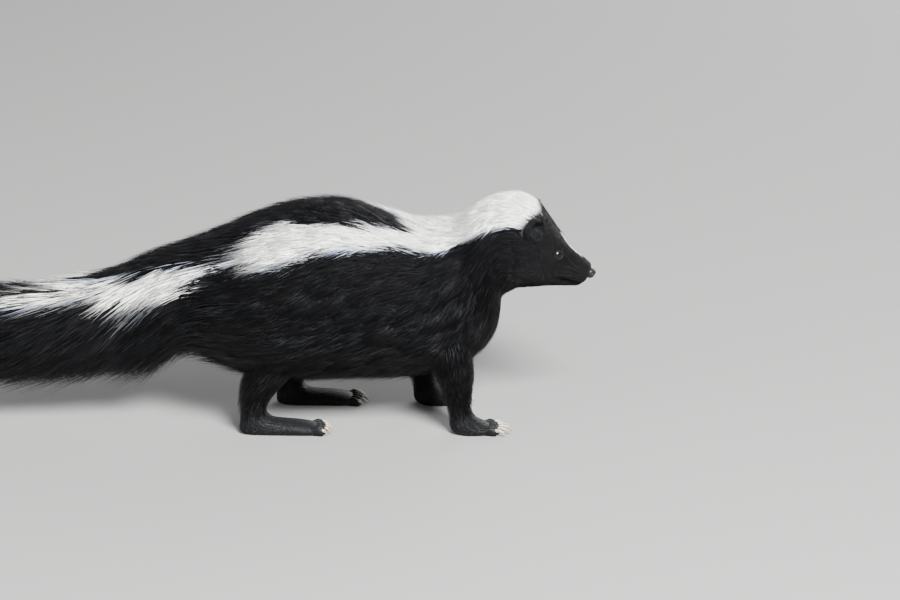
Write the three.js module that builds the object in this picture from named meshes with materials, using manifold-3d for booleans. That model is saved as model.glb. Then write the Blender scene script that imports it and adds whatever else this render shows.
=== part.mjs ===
// A striped skunk, life size: it stands on four feet with its head lowered and its tail trailed behind.
// Millimetres, +X towards the nose, +Z up, the origin on the floor under the middle of the whole animal.
// One outline runs from the nose to the tip of the tail; the head, neck, torso and tail are lengths of it.

import * as THREE from 'three';
import { mergeVertices } from 'three/addons/utils/BufferGeometryUtils.js';
import Module from 'manifold-3d';

const wasm = await Module();
wasm.setup();

const degrees = THREE.MathUtils.degToRad;
const mix = THREE.MathUtils.lerp;
const smooth = THREE.MathUtils.smoothstep;
const vector = (x, y, z) => new THREE.Vector3(x, y, z);

// Driving dimensions
const GAP = 0.35;
const NOSE_TIP = { x: 320, z: 135 };
const HEAD_PITCH = degrees(27);
const SQUARENESS = 0.92;
const PEAR = 0.08;
const EYE = { along: 35, angle: degrees(60), radius: 4.6, sink: 3.3, lid: 1.1, long: 4.5, high: 3 };
const EAR = { back: 70, up: 19, aside: 27, width: 19, height: 25, depth: 11, wall: 1.6 };
const NOSE_PAD = { back: 4.2, up: -0.8, length: 11, width: 14.5, height: 10.5 };
const NOSTRIL = { back: 0.2, up: -0.8, aside: 3, length: 6.4, width: 2.6, height: 3.2 };
const MOUTH = { front: -8.6, slope: -0.15, corner: 33, width: 0.8, depth: 2.6 };
const NECK_START = 92;
const NECK_END = 171;
const CHEST_END = 256;
const RUMP_END = 370;
const TAIL_CUTS = [460, 556];
const LEG_ASIDE = 38;
const FRONT_FEET = { right: 208, left: 176 };
const HIND_FEET = { right: 38, left: 68 };
const CORE_LEVEL = 0.5;
const LOCK_SINK = 3.5;
const LOCK_RISE = 0.6;
const SEED = 41;
// Locks in rows round the body: where the rows start and end along it and how far apart they are; how far
// apart a row's locks are and how much of that their width takes; their size and how far round they reach.
const LOCK_ROWS = [
  { from: 64, to: 94, apart: 14.5, pitch: 28, fill: 0.94, length: 34, reach: degrees(110) },
  { from: 120, to: 378, apart: 28.5, pitch: 41, fill: 0.95, length: 66, reach: degrees(180) },
  { from: 404, to: 600, apart: 32, pitch: 31, fill: 0.93, length: 96, reach: degrees(180) },
];
const CHEEK_LOCKS = { along: 54, angles: [100, 120].map(degrees), turn: degrees(21), length: 22 };
const LEG_LOCKS = { rows: [0.5, 0.72], count: 4, fill: 0.72, length: 28 };
const LOCK_THICKNESS = { share: 0.19, least: 2.6, most: 7.5 };

// A point of the head: back from the nose tip, up square to the head's own axis, and aside to the left.
function headPlace(back, up, aside = 0) {
  const x = NOSE_TIP.x - back * Math.cos(HEAD_PITCH) + up * Math.sin(HEAD_PITCH);
  const z = NOSE_TIP.z + back * Math.sin(HEAD_PITCH) + up * Math.cos(HEAD_PITCH);
  return vector(x, aside, z);
}

const HEAD_BACK = headPlace(1, 0).sub(headPlace(0, 0));
const HEAD_UP = headPlace(0, 1).sub(headPlace(0, 0));

// The outline out to the coat's tips. Each station has its highest and lowest point in the middle plane,
// half its width, and the coat's depth above, at the sides and below. y is how far the middle lies aside.
function station(top, bottom, half, coat, y = 0) {
  const ends = { top: vector(top[0], y, top[1]), bottom: vector(bottom[0], y, bottom[1]) };
  return { ...ends, half, coat: vector(...coat) };
}
function headStation(top, bottom, half, coat) {
  return { top: headPlace(...top), bottom: headPlace(...bottom), half, coat: vector(...coat) };
}
const OUTLINE = [
  headStation([2, 3.5], [4, -10], 8, [1, 1, 1]),
  headStation([8, 6.5], [8, -15.5], 10.8, [1.5, 1.5, 1.5]),
  headStation([16, 9], [15, -19.5], 13.2, [2, 2, 2]),
  headStation([26, 12], [24, -24], 16, [2.5, 2.5, 2.5]),
  headStation([35, 15.5], [33, -28.5], 19.8, [3, 3, 3]),
  headStation([44, 20.5], [41, -33], 25, [3.5, 3.5, 4]),
  headStation([57, 28.5], [49, -37.5], 30.5, [5, 5, 6]),
  headStation([73, 36.5], [56, -42.5], 34, [11, 7, 8]),
  headStation([94, 36.5], [60, -49], 36.5, [15, 9, 9]),
  headStation([115, 21.5], [63, -56], 38, [15, 11, 10]),
  station([205, 190], [238, 99], 43, [16, 13, 12]),
  station([184, 187], [229, 71], 50, [18, 15, 14]),
  station([163, 187], [196, 49], 58, [20, 17, 14]),
  station([134, 196], [148, 44], 65, [22, 18, 14]),
  station([95, 205], [96, 44], 72, [23, 20, 14]),
  station([48, 200], [42, 46], 76, [24, 21, 16]),
  station([9, 184.5], [-6, 57], 68, [24, 23, 20]),
  station([-28, 170.5], [-40, 68], 49, [23, 24, 28], -1),
  station([-68, 158], [-77, 50], 39, [24, 26, 46], -3),
  station([-113, 139.5], [-121, 41], 40, [24, 29, 50], -5),
  station([-160, 130], [-168, 37], 42, [24, 33, 50], -5),
  station([-208, 123], [-216, 36], 41, [23, 34, 48], -2),
  station([-255, 115], [-262, 43], 34, [22, 30, 42], 3),
  station([-294, 104], [-300, 60], 21, [17, 18, 22], 8),
  station([-321, 91], [-323, 80], 6, [4, 4, 4], 11),
];

// The legs, each with its foot, from inside the torso down to the toes' roots. x counts from the leg's place.
const FRONT_LEG = {
  feet: FRONT_FEET,
  stations: [
    station([0, 106], [-44, 96], 20, [8, 8, 8]),
    station([6, 80], [-36, 71], 20, [8, 8, 8]),
    station([8, 58], [-26, 50], 18, [8, 8, 8]),
    station([6, 38], [-19, 33], 14.5, [7, 6, 8]),
    station([5, 22], [-16, 17], 12.5, [4, 4, 5]),
    station([9, 14], [-14, 4], 13, [2, 2, 2]),
    station([14, 11], [-5, -1.6], 13.2, [1.5, 1.5, 1.5]),
    station([19, 8.6], [9, -1.6], 12.8, [1.5, 1.5, 1.5]),
    station([23, 6.5], [19, -1], 11, [1, 1, 1]),
  ],
  ankle: 4,
  toes: { root: 17, reach: 11, claw: 13 },
};
const HIND_LEG = {
  feet: HIND_FEET,
  stations: [
    station([44, 104], [-22, 92], 27, [9, 9, 9]),
    station([38, 78], [-22, 66], 25, [9, 9, 9]),
    station([21, 56], [-27, 45], 20, [9, 8, 9]),
    station([4, 39], [-29, 28], 15, [7, 7, 8]),
    station([-5, 23], [-29, 15], 12.5, [4, 4, 5]),
    station([-1, 15], [-29, 2], 11.8, [2, 2, 2]),
    station([9, 13], [-16, -1.8], 11.5, [1.5, 1.5, 1.5]),
    station([24, 11.5], [8, -1.8], 12.3, [1.5, 1.5, 1.5]),
    station([36, 9], [29, -1.4], 12.6, [1.5, 1.5, 1.5]),
    station([41, 6.5], [38, -1], 11, [1, 1, 1]),
  ],
  ankle: 4,
  toes: { root: 36, reach: 10, claw: 7 },
};
// A toe with its claw: how far out, as a share of the toe's reach and then of the claw's, how high its middle
// is, and half its width and height there.
const TOE = [
  { toe: -0.45, claw: 0, z: 3.4, wide: 1.9, high: 3.4 },
  { toe: 0.5, claw: 0, z: 4.4, wide: 2.4, high: 4.6 },
  { toe: 0.95, claw: 0, z: 3.6, wide: 2.2, high: 3.9 },
  { toe: 1, claw: 0.06, z: 5.2, wide: 1.2, high: 1.9 },
  { toe: 1, claw: 0.55, z: 4.6, wide: 1, high: 1.4 },
  { toe: 1, claw: 1, z: 1.2, wide: 0, high: 0 },
];
const TOE_SPREAD = [-10, -5.1, 0, 5.1, 10].map((aside, i) => ({
  aside,
  turn: degrees(1.1 * aside),
  size: [0.8, 0.95, 1, 0.95, 0.8][i],
}));

// Soft forms of the flesh, the same on both sides: where they are highest, how far they reach and how high.
const FORMS = [
  { middle: headPlace(12, -3, 12), reach: 6, height: 1.5 },
  { middle: headPlace(40, 17, 13), reach: 6, height: 2 },
  { middle: headPlace(36, 5, 20), reach: 5, height: -2 },
  { middle: headPlace(50, -8, 29), reach: 11, height: 2.5 },
  { middle: headPlace(28, 10, 9), reach: 6, height: -1.2 },
  { middle: vector(188, 60, 92), reach: 26, height: 5 },
  { middle: vector(46, 74, 92), reach: 30, height: 6 },
];

// A smooth run of stations that gives any point of a limb or of the body by distance along it, angle round
// it and level in the coat: level 0 is the skin, 1 the coat's tips; angle 0 is its top, a quarter turn left.
class Body {
  constructor(stations, forms = []) {
    const curve = (points) => new THREE.CatmullRomCurve3(points, false, 'catmullrom', 0.5);
    const tops = curve(stations.map((k) => k.top));
    const bottoms = curve(stations.map((k) => k.bottom));
    const coats = curve(stations.map((k) => k.coat));
    const halves = curve(stations.map((k) => vector(k.half, 0, 0)));
    const count = 24 * (stations.length - 1);
    this.forms = forms;
    this.samples = [];
    for (let i = 0; i <= count; i++) {
      const [top, bottom] = [tops.getPoint(i / count), bottoms.getPoint(i / count)];
      const middle = top.clone().add(bottom).multiplyScalar(0.5);
      const before = this.samples[i - 1];
      const along = before ? before.along + middle.distanceTo(before.middle) : 0;
      const half = halves.getPoint(i / count).x;
      this.samples.push({ along, top, bottom, middle, half, coat: coats.getPoint(i / count) });
    }
    this.length = this.samples[count].along;
  }

  section(along) {
    const at = THREE.MathUtils.clamp(along, 0, this.length - 1e-4);
    const next = this.samples.findIndex((k) => k.along > at);
    const [a, b] = [this.samples[next - 1], this.samples[next]];
    const share = (at - a.along) / (b.along - a.along);
    const top = a.top.clone().lerp(b.top, share);
    const bottom = a.bottom.clone().lerp(b.bottom, share);
    const up = top.clone().sub(bottom).normalize();
    return { top, bottom, up, half: mix(a.half, b.half, share), coat: a.coat.clone().lerp(b.coat, share) };
  }

  point(along, angle, level, grow = 0) {
    const { top, bottom, up, half, coat } = this.section(along);
    const inset = 1 - level;
    const high = top.addScaledVector(up, grow - inset * coat.x);
    const low = bottom.addScaledVector(up, inset * coat.z - grow);
    const height = high.distanceTo(low) / 2;
    const width = half - inset * coat.y + grow;
    const [s, c] = [Math.sin(angle), Math.cos(angle)];
    const place = high.add(low).multiplyScalar(0.5);
    place.addScaledVector(up, height * Math.sign(c) * Math.abs(c) ** SQUARENESS);
    place.y += width * Math.sign(s) * Math.abs(s) ** SQUARENESS * (1 - PEAR * c);
    if (!this.forms.length) return place;
    let rise = lipRise(place);
    for (const { middle, reach, height: most } of this.forms) {
      const away = Math.hypot(place.x - middle.x, Math.abs(place.y) - middle.y, place.z - middle.z) / reach;
      if (away < 4) rise += most * Math.exp(-away * away / 2);
    }
    place.addScaledVector(up, rise * c);
    place.y += rise * s;
    return place;
  }

  // A place on the body with the directions back along its surface, round it and out of it.
  frame(along, angle, level) {
    const origin = this.point(along, angle, level);
    const round = this.point(along, angle + 0.05, level);
    round.sub(this.point(along, angle - 0.05, level)).normalize();
    const back = this.point(along + 1, angle, level);
    back.sub(this.point(along - 1, angle, level)).normalize();
    const out = vector().crossVectors(back, round).normalize();
    const { top, bottom } = this.section(along);
    if (out.dot(origin) < out.dot(top.add(bottom).multiplyScalar(0.5))) out.negate();
    return { origin, back, round, out };
  }
}

const mouthHeight = (back) => MOUTH.front + MOUTH.slope * back;

// The upper lip stands out over the mouth and the lower lip is drawn in under it.
function lipRise(place) {
  const from = place.clone().sub(headPlace(0, 0));
  const back = from.dot(HEAD_BACK);
  if (back > MOUTH.corner + 8) return 0;
  const above = from.dot(HEAD_UP) - mouthHeight(back);
  const fade = 1 - smooth(back, MOUTH.corner - 8, MOUTH.corner + 6);
  return fade * (0.8 * Math.exp(-(((above - 2) / 2) ** 2)) - 1.3 * Math.exp(-(((above + 2.2) / 2.4) ** 2)));
}

// A closed three.js geometry with each vertex moved to the place given for it, as a solid.
function solid(geometry, placeOf) {
  geometry.deleteAttribute('normal');
  geometry.deleteAttribute('uv');
  const merged = mergeVertices(geometry, 1e-5);
  const position = merged.getAttribute('position');
  for (let i = 0; i < position.count; i++) {
    const moved = placeOf(vector().fromBufferAttribute(position, i));
    position.setXYZ(i, moved.x, moved.y, moved.z);
  }
  const triVerts = Uint32Array.from(merged.index.array);
  const mesh = () => new wasm.Mesh({ numProp: 3, vertProperties: position.array, triVerts });
  const build = () => new wasm.Manifold(mesh());
  const made = build();
  if (made.volume() > 0) return made;
  for (let i = 0; i < triVerts.length; i += 3) {
    [triVerts[i + 1], triVerts[i + 2]] = [triVerts[i + 2], triVerts[i + 1]];
  }
  return build();
}

const join = (pieces) => wasm.Manifold.union(pieces);

function largest(made) {
  return made.decompose().reduce((best, body) => (body.volume() > best.volume() ? body : best));
}

// A length of a body between two distances along it, closed by flat ends. bunching above 1 sets its rings
// closer together near its start.
function bodyLength(body, from, to, { sides, steps, levelAt, bunching = 1 }, grow = 0) {
  return solid(new THREE.CylinderGeometry(1, 1, 1, sides, steps), (v) => {
    const along = mix(from - grow, to + grow, (0.5 - v.y) ** bunching);
    const level = levelAt(along);
    if (Math.hypot(v.x, v.z) > 0.5) return body.point(along, Math.atan2(v.x, v.z), level, grow);
    return body.point(along, 0, level, grow).add(body.point(along, Math.PI, level, grow)).multiplyScalar(0.5);
  });
}

// An ellipsoid by its middle, its three directions and its size along each.
function ellipsoid(middle, axes, sizes, across, down) {
  return solid(new THREE.SphereGeometry(0.5, across, down), (v) => middle.clone()
    .addScaledVector(axes[0], v.x * sizes[0])
    .addScaledVector(axes[1], v.y * sizes[1])
    .addScaledVector(axes[2], v.z * sizes[2]));
}

// A pointed form: at each share u of its length, at(u) gives its middle, its directions across and half
// its width along each.
function taper(at, sides, steps) {
  return solid(new THREE.CylinderGeometry(0, 1, 1, sides, steps), (v) => {
    const { origin, round, out, width, thick } = at(v.y + 0.5);
    const radius = Math.hypot(v.x, v.z);
    if (radius < 1e-6) return origin;
    return origin.addScaledVector(round, v.x / radius * width).addScaledVector(out, v.z / radius * thick);
  });
}

// The directions of a part that faces ahead: ahead, aside and up.
function axesOf(ahead, up) {
  const first = ahead.clone().normalize();
  const second = vector().crossVectors(up, first).normalize();
  return [first, second, vector().crossVectors(first, second)];
}

// The core under the locks is the plain form in the face and sinks half way into the coat behind it.
const headLevel = (along) => mix(0.97, CORE_LEVEL, smooth(along, 50, 76));
const coreLevel = () => CORE_LEVEL;

// One lock: it roots in the core, rises out of it, bends aside as it lies back along the body and ends at the
// coat's tips. turn is the share of the way round the body that its width takes. A grown one holds the lock
// with room all round it.
function lockShape(body, levelAt, { along, angle, turn, length, stout, bend, tip }, grow = 0) {
  const depth = body.point(along, angle, 1).distanceTo(body.point(along, angle, 0));
  const { share: part, least, most } = LOCK_THICKNESS;
  const thick = stout * THREE.MathUtils.clamp(part * depth, least, most);
  const start = levelAt(along) - LOCK_SINK / depth;
  return solid(new THREE.CylinderGeometry(grow > 0 ? 1 : 0, 1, 1, 4, 3), (v) => {
    const share = v.y + 0.5;
    const at = along + length * share;
    const middle = angle + bend * share ** 2;
    const level = mix(start, tip, share ** LOCK_RISE);
    const fullness = 1 - share ** 2.2;
    const { origin, back, round, out } = body.frame(at, middle, level);
    const radius = Math.hypot(v.x, v.z);
    const [side, high] = radius < 1e-6 ? [0, 0] : [v.x / radius, v.z / radius];
    const place = body.point(at, middle + side * turn / 2 * fullness * (0.72 + 0.6 * share), level);
    const aside = fullness > 0 ? place.clone().sub(origin).normalize() : round.multiplyScalar(side);
    return place.addScaledVector(out, high * (thick / 2 * fullness + grow))
      .addScaledVector(aside, grow * mix(3, 1, share))
      .addScaledVector(back, share < 0.1 ? -grow : (share > 0.9 ? 2 * grow : 0));
  });
}

const random = seededRandom(SEED);
const around = (reach) => reach * (2 * random() - 1);

// A lock's own size and turn, a little different from its neighbours'. end is the farthest its tip may lie.
function varied(lock, end, bend = 0) {
  return {
    ...lock,
    length: Math.min(lock.length * (1 + around(0.12)), end - 1 - lock.along),
    turn: lock.turn * (1 + around(0.06)),
    stout: 1 + around(0.1),
    bend: bend + around(degrees(1.5)),
    tip: 1 - 0.07 * random(),
  };
}

function lockRows(body, rows) {
  return rows.flatMap(({ from, to, apart, pitch, fill, reach, ...size }) => {
    const count = Math.floor((to - from) / apart) + 1;
    return Array.from({ length: count }, (_, row) => {
      const along = from + row * apart;
      const { top, bottom, half } = body.section(along);
      const number = Math.round(Math.PI * (half + top.distanceTo(bottom) / 2) * 0.93 / pitch);
      const turn = (2 * Math.PI) / number;
      const bend = around(degrees(5));
      return Array.from({ length: number }, (_, i) => varied({
        ...size,
        along: along + around(apart * 0.1),
        angle: THREE.MathUtils.euclideanModulo((i + row % 2 / 2) * turn + Math.PI, 2 * Math.PI) - Math.PI,
        turn: fill * turn,
      }, body.length, bend)).filter((lock) => Math.abs(lock.angle) <= reach);
    }).flat();
  });
}

// Evenly spread numbers from 0 to 1, the same in every run.
function seededRandom(seed) {
  let state = seed;
  return () => {
    state = (state + 0x6d2b79f5) | 0;
    let mixed = Math.imul(state ^ (state >>> 15), 1 | state);
    mixed = (mixed + Math.imul(mixed ^ (mixed >>> 7), 61 | mixed)) ^ mixed;
    return ((mixed ^ (mixed >>> 14)) >>> 0) / 4294967296;
  };
}

const HEAD = [HEAD_BACK.clone().negate(), vector(0, 1, 0), HEAD_UP];
const plainLevel = () => 0.97;
const skunk = new Body(OUTLINE, FORMS);

// The eyes

function eyeFrame(hand) {
  const { origin, out } = skunk.frame(EYE.along, hand * EYE.angle, plainLevel());
  const ahead = out.addScaledVector(HEAD_BACK, -0.2).normalize();
  return { middle: origin.addScaledVector(ahead, -EYE.sink), axes: axesOf(ahead, HEAD_UP) };
}

function eyeball(hand, grow = 0) {
  const { middle, axes } = eyeFrame(hand);
  const size = 2 * (EYE.radius + grow);
  return ellipsoid(middle, [axes[1], axes[0], axes[2]], [size, size, size], 11, 7);
}

// The lids: a thicker ball round the eye, open in front between two arcs that meet in the corners.
function lids(hand) {
  const { middle, axes } = eyeFrame(hand);
  const size = 2 * (EYE.radius + GAP + EYE.lid);
  const ball = ellipsoid(middle, [axes[1], axes[0], axes[2]], [1.4 * size, size, 1.05 * size], 12, 8);
  const radius = (EYE.long ** 2 / EYE.high + EYE.high) / 2;
  const arcs = [-1, 1].map((side) => {
    const at = middle.clone().addScaledVector(axes[0], EYE.radius + 1);
    at.addScaledVector(axes[2], side * (radius - EYE.high));
    return ellipsoid(at, axes, [2 * radius, 2 * radius, 2 * radius], 12, 8);
  });
  return { ball, opening: arcs[0].intersect(arcs[1]) };
}

// The nose pad and its nostrils

function nosePad(grow = 0) {
  const sizes = [NOSE_PAD.length + 2 * grow, NOSE_PAD.width + 2 * grow, NOSE_PAD.height + 2 * grow];
  return ellipsoid(headPlace(NOSE_PAD.back, NOSE_PAD.up), HEAD, sizes, 13, 8);
}

function nostrils() {
  const holes = [-1, 1].flatMap((hand) => {
    const aim = axesOf(vector(0, hand * 0.45, 0).add(HEAD[0]), HEAD_UP);
    const mouth = headPlace(NOSTRIL.back, NOSTRIL.up, hand * NOSTRIL.aside);
    const slit = headPlace(NOSTRIL.back + 2.4, NOSTRIL.up + 1, hand * (NOSTRIL.aside + 3.6));
    return [
      ellipsoid(mouth, aim, [NOSTRIL.length, NOSTRIL.width, NOSTRIL.height], 8, 6),
      ellipsoid(slit, axesOf(vector(0, hand, 0).add(HEAD_BACK), HEAD_UP), [6, 3, 1.5], 6, 4),
    ];
  });
  const groove = ellipsoid(headPlace(-1.2, -4.5), HEAD, [4, 1, 7], 6, 6);
  return join([...holes, groove]);
}

// The mouth: a line cut between the lips from corner to corner round the front of the muzzle.
function mouthLine() {
  const sheet = solid(new THREE.BoxGeometry(1, 1, 1, 6, 1, 1), (v) => {
    const back = mix(-6, MOUTH.corner, v.x + 0.5);
    return headPlace(back, mouthHeight(back) + MOUTH.width * v.y, 60 * v.z);
  });
  const inside = bodyLength(skunk, 0, 70, { sides: 16, steps: 12, levelAt: plainLevel }, -MOUTH.depth);
  return sheet.subtract(inside);
}

// The ears: rounded cups that face ahead and out.

function earCup(hand, grow = 0) {
  const ahead = vector(0, hand * 0.75, 0).addScaledVector(HEAD_BACK, -0.7).addScaledVector(HEAD_UP, 0.1);
  const up = HEAD_UP.clone().addScaledVector(HEAD_BACK, 0.35).add(vector(0, hand * 0.3, 0));
  const axes = axesOf(ahead, up);
  const middle = headPlace(EAR.back, EAR.up, hand * EAR.aside);
  const sizes = [EAR.depth + 2 * grow, EAR.width + 2 * grow, EAR.height + 2 * grow];
  const outside = ellipsoid(middle, axes, sizes, 12, 8);
  if (grow) return outside;
  const hollow = middle.clone().addScaledVector(axes[0], EAR.depth * 0.32).addScaledVector(axes[2], 0.6);
  const room = [EAR.depth * 1.2, EAR.width - 2 * EAR.wall, EAR.height - 2 * EAR.wall];
  return outside.subtract(ellipsoid(hollow, axes, room, 12, 7));
}

// Legs and feet

function legAt({ stations, feet, ankle, toes }, side, hand) {
  const shift = vector(feet[side], hand * LEG_ASIDE, 0);
  const place = (k) => ({ ...k, top: k.top.clone().add(shift), bottom: k.bottom.clone().add(shift) });
  const body = new Body(stations.map(place));
  return { body, hand, shift, toes, ankle: body.samples[24 * ankle].along };
}

// A foot flat on the floor, with five toes and their claws.
function foot({ body, hand, shift, toes, ankle }) {
  const levelAt = (along) => mix(0.62, 0.97, smooth(along, ankle, ankle + 14));
  const palm = bodyLength(body, ankle + GAP, body.length, { sides: 10, steps: 6, levelAt });
  const pieces = TOE_SPREAD.map(({ aside, turn, size }) => {
    const ahead = vector(Math.cos(turn), hand * Math.sin(turn), 0);
    const across = vector(-ahead.y, ahead.x, 0);
    return taper((u) => {
      const { toe, claw, z, wide, high } = TOE[Math.round(u * (TOE.length - 1))];
      const out = toes.root - 4 * (1 - size) + size * (toe * toes.reach + claw * toes.claw);
      const origin = vector(shift.x + toes.root - 5, shift.y + hand * aside, z);
      origin.addScaledVector(ahead, out - toes.root + 5);
      return { origin, round: across, out: vector(0, 0, 1), width: wide, thick: high };
    }, 5, TOE.length - 1);
  });
  return largest(join([palm, ...pieces]).trimByPlane([0, 0, 1], 0));
}

const group = new THREE.Group();
const materials = {
  black_fur: new THREE.MeshStandardMaterial({ color: 0x14120f, roughness: 0.6, metalness: 0 }),
  nose_skin: new THREE.MeshStandardMaterial({ color: 0x1d1716, roughness: 0.35, metalness: 0 }),
  eye: new THREE.MeshStandardMaterial({ color: 0x0a0706, roughness: 0.08, metalness: 0 }),
};

function addNode(name, made, material) {
  const { numProp, vertProperties, triVerts } = made.getMesh();
  if (numProp !== 3) throw new Error(name + ' holds more than positions');
  const geometry = new THREE.BufferGeometry();
  geometry.setAttribute('position', new THREE.BufferAttribute(vertProperties, 3));
  geometry.setIndex(new THREE.BufferAttribute(triVerts, 1));
  geometry.computeVertexNormals();
  const mesh = new THREE.Mesh(geometry, material);
  mesh.name = name;
  group.add(mesh);
}

const HEAD_MESH = { sides: 26, steps: 23, levelAt: headLevel, bunching: 1.2 };
const BODY_MESH = { sides: 14, levelAt: coreLevel };
const TAIL_MESH = { sides: 10, steps: 3, levelAt: coreLevel };
const SPANS = [
  { name: 'head', from: 0, to: NECK_START, mesh: HEAD_MESH },
  { name: 'neck', from: NECK_START + GAP, to: NECK_END, mesh: { ...BODY_MESH, steps: 4 } },
  { name: 'torso_front', from: NECK_END + GAP, to: CHEST_END, mesh: { ...BODY_MESH, steps: 3 } },
  { name: 'torso_rear', from: CHEST_END + GAP, to: RUMP_END, mesh: { ...BODY_MESH, steps: 4 } },
  { name: 'tail_base', from: RUMP_END + GAP, to: TAIL_CUTS[0], mesh: TAIL_MESH },
  { name: 'tail_middle', from: TAIL_CUTS[0] + GAP, to: TAIL_CUTS[1], mesh: TAIL_MESH },
  { name: 'tail_tip', from: TAIL_CUTS[1] + GAP, to: skunk.length, mesh: TAIL_MESH },
];
const core = ({ from, to, mesh }, grow = 0) => bodyLength(skunk, from, to, mesh, grow);

// The legs are worked out first: no lock of the torso roots where a leg joins it.
const legs = [['left', 1], ['right', -1]].flatMap(([side, hand]) => [
  { name: 'front', side, ...legAt(FRONT_LEG, side, hand) },
  { name: 'hind', side, ...legAt(HIND_LEG, side, hand) },
]);

function insideLeg(place) {
  const near = ({ middle, half }) => middle.distanceTo(place) < half + 3;
  return legs.some(({ body }) => body.samples.some(near));
}

const earMiddles = [-1, 1].map((hand) => headPlace(EAR.back, EAR.up, hand * EAR.aside));
function clearGround({ along, angle, length }) {
  if (insideLeg(skunk.point(along, angle, CORE_LEVEL))) return false;
  return [0, 0.5, 1].every((share) => {
    const at = skunk.point(along + share * length, angle, 0.9);
    return earMiddles.every((middle) => middle.distanceTo(at) > EAR.height * 0.55);
  });
}
const cheekLocks = [-1, 1].flatMap((hand) => CHEEK_LOCKS.angles.map((angle) => varied({
  ...CHEEK_LOCKS, angle: hand * angle,
}, skunk.length)));
const locks = [...cheekLocks, ...lockRows(skunk, LOCK_ROWS)].filter(clearGround);
const locksOf = ({ from, to }) => locks.filter(({ along }) => along >= from - GAP && along < to);

// Each length of the body with its locks, cut clear of the locks that lie over it from the lengths ahead.
const lidParts = [-1, 1].map(lids);
const ears = join([-1, 1].map((hand) => earCup(hand, GAP)));
const made = {};
const room = {};
let before = null;
for (const span of SPANS) {
  const own = locksOf(span);
  const levelAt = span.mesh.levelAt;
  let shape = join(own.map((lock) => lockShape(skunk, levelAt, lock)));
  if (span.name === 'head') shape = shape.subtract(ears);
  shape = shape.add(core(span));
  if (before) shape = shape.subtract(before);
  made[span.name] = largest(shape.simplify(0.2));
  before = join(own.map((lock) => lockShape(skunk, levelAt, lock, GAP)));
  room[span.name] = before.add(core(span, GAP));
}

const head = join([made.head, ...lidParts.map((part) => part.ball)]).subtract(join([
  ...lidParts.map((part) => part.opening),
  eyeball(-1, GAP),
  eyeball(1, GAP),
  nosePad(GAP),
  mouthLine(),
]));
addNode('head', largest(head.simplify(0.05)), materials.black_fur);
addNode('nose', largest(nosePad().subtract(nostrils()).simplify(0.05)), materials.nose_skin);
const headRoom = core(SPANS[0], GAP);
for (const [side, hand] of [['left', 1], ['right', -1]]) {
  addNode('eye_' + side, eyeball(hand), materials.eye);
  addNode('ear_' + side, largest(earCup(hand).subtract(headRoom).simplify(0.05)), materials.black_fur);
}
for (const { name } of SPANS.slice(1)) addNode(name, largest(made[name].simplify(0.05)), materials.black_fur);

const torsoRoom = join([room.neck, room.torso_front, room.torso_rear]);
for (const leg of legs) {
  const turn = (2 * Math.PI) / LEG_LOCKS.count;
  const places = LEG_LOCKS.rows.flatMap((share, row) => Array.from({ length: LEG_LOCKS.count }, (_, i) => ({
    ...LEG_LOCKS, along: share * leg.ankle, angle: (i + row / 2) * turn, turn: LEG_LOCKS.fill * turn,
  })));
  const fringe = places.map((lock) => varied(lock, leg.ankle));
  const limb = join([
    bodyLength(leg.body, 0, leg.ankle, { sides: 10, steps: 5, levelAt: coreLevel }),
    ...fringe.map((lock) => lockShape(leg.body, coreLevel, lock)),
  ]);
  const clear = largest(limb.subtract(torsoRoom).simplify(0.08));
  addNode(leg.name + '_leg_' + leg.side, clear, materials.black_fur);
  addNode(leg.name + '_foot_' + leg.side, foot(leg), materials.black_fur);
}

export default group;
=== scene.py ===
"""A striped skunk, life size: skin, coat, eyes, nose, claws and whiskers."""

import math

import bmesh
import bpy
import numpy as np
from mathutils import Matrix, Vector, kdtree


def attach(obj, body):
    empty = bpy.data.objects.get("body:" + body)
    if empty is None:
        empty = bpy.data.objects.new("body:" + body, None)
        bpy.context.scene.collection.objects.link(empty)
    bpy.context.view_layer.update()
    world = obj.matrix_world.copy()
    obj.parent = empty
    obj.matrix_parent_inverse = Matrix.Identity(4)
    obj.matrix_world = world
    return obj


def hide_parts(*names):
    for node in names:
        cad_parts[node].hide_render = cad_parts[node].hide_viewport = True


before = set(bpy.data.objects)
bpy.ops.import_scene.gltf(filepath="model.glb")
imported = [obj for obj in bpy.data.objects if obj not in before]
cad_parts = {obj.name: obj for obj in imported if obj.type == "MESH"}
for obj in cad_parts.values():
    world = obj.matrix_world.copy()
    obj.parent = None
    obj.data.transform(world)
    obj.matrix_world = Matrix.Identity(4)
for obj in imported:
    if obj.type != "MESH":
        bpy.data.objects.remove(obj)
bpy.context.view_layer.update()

MM = 0.001
QUICK = 1.0

# The outline of the body and legs, in millimetres, with PER_GAP samples from each station to the next
NOSE_TIP = np.array([320.0, 0.0, 135.0])
PITCH = math.radians(27)
HEAD_BACK = np.array([-math.cos(PITCH), 0.0, math.sin(PITCH)])
HEAD_UP = np.array([math.sin(PITCH), 0.0, math.cos(PITCH)])
ASIDE = np.array([0.0, 1.0, 0.0])
HEAD_AXES = (-HEAD_BACK, ASIDE, HEAD_UP)
FLOOR_UP = np.array([0.0, 0.0, 1.0])
PER_GAP = 24
SQUARENESS = 0.92
PEAR = 0.08
LEG_ASIDE = 38
ANKLE_STATION = 4
FEET = {
    "front_right": 208,
    "front_left": 176,
    "hind_right": 38,
    "hind_left": 68,
}
MOUTH = {"front": -8.6, "slope": -0.15, "corner": 33}
EYE = {"along": 35, "angle": math.radians(60), "radius": 4.6, "sink": 3.0, "long": 4.1, "high": 3.2}
EAR = {"back": 70, "up": 18.5, "aside": 27, "width": 19, "height": 23, "depth": 11}
EAR_ROOM = np.array([5.3, 8.4, 10.4])
NOSE_PAD = {"back": 4.2, "up": -0.8, "sizes": (11, 14.5, 10.5)}


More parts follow.
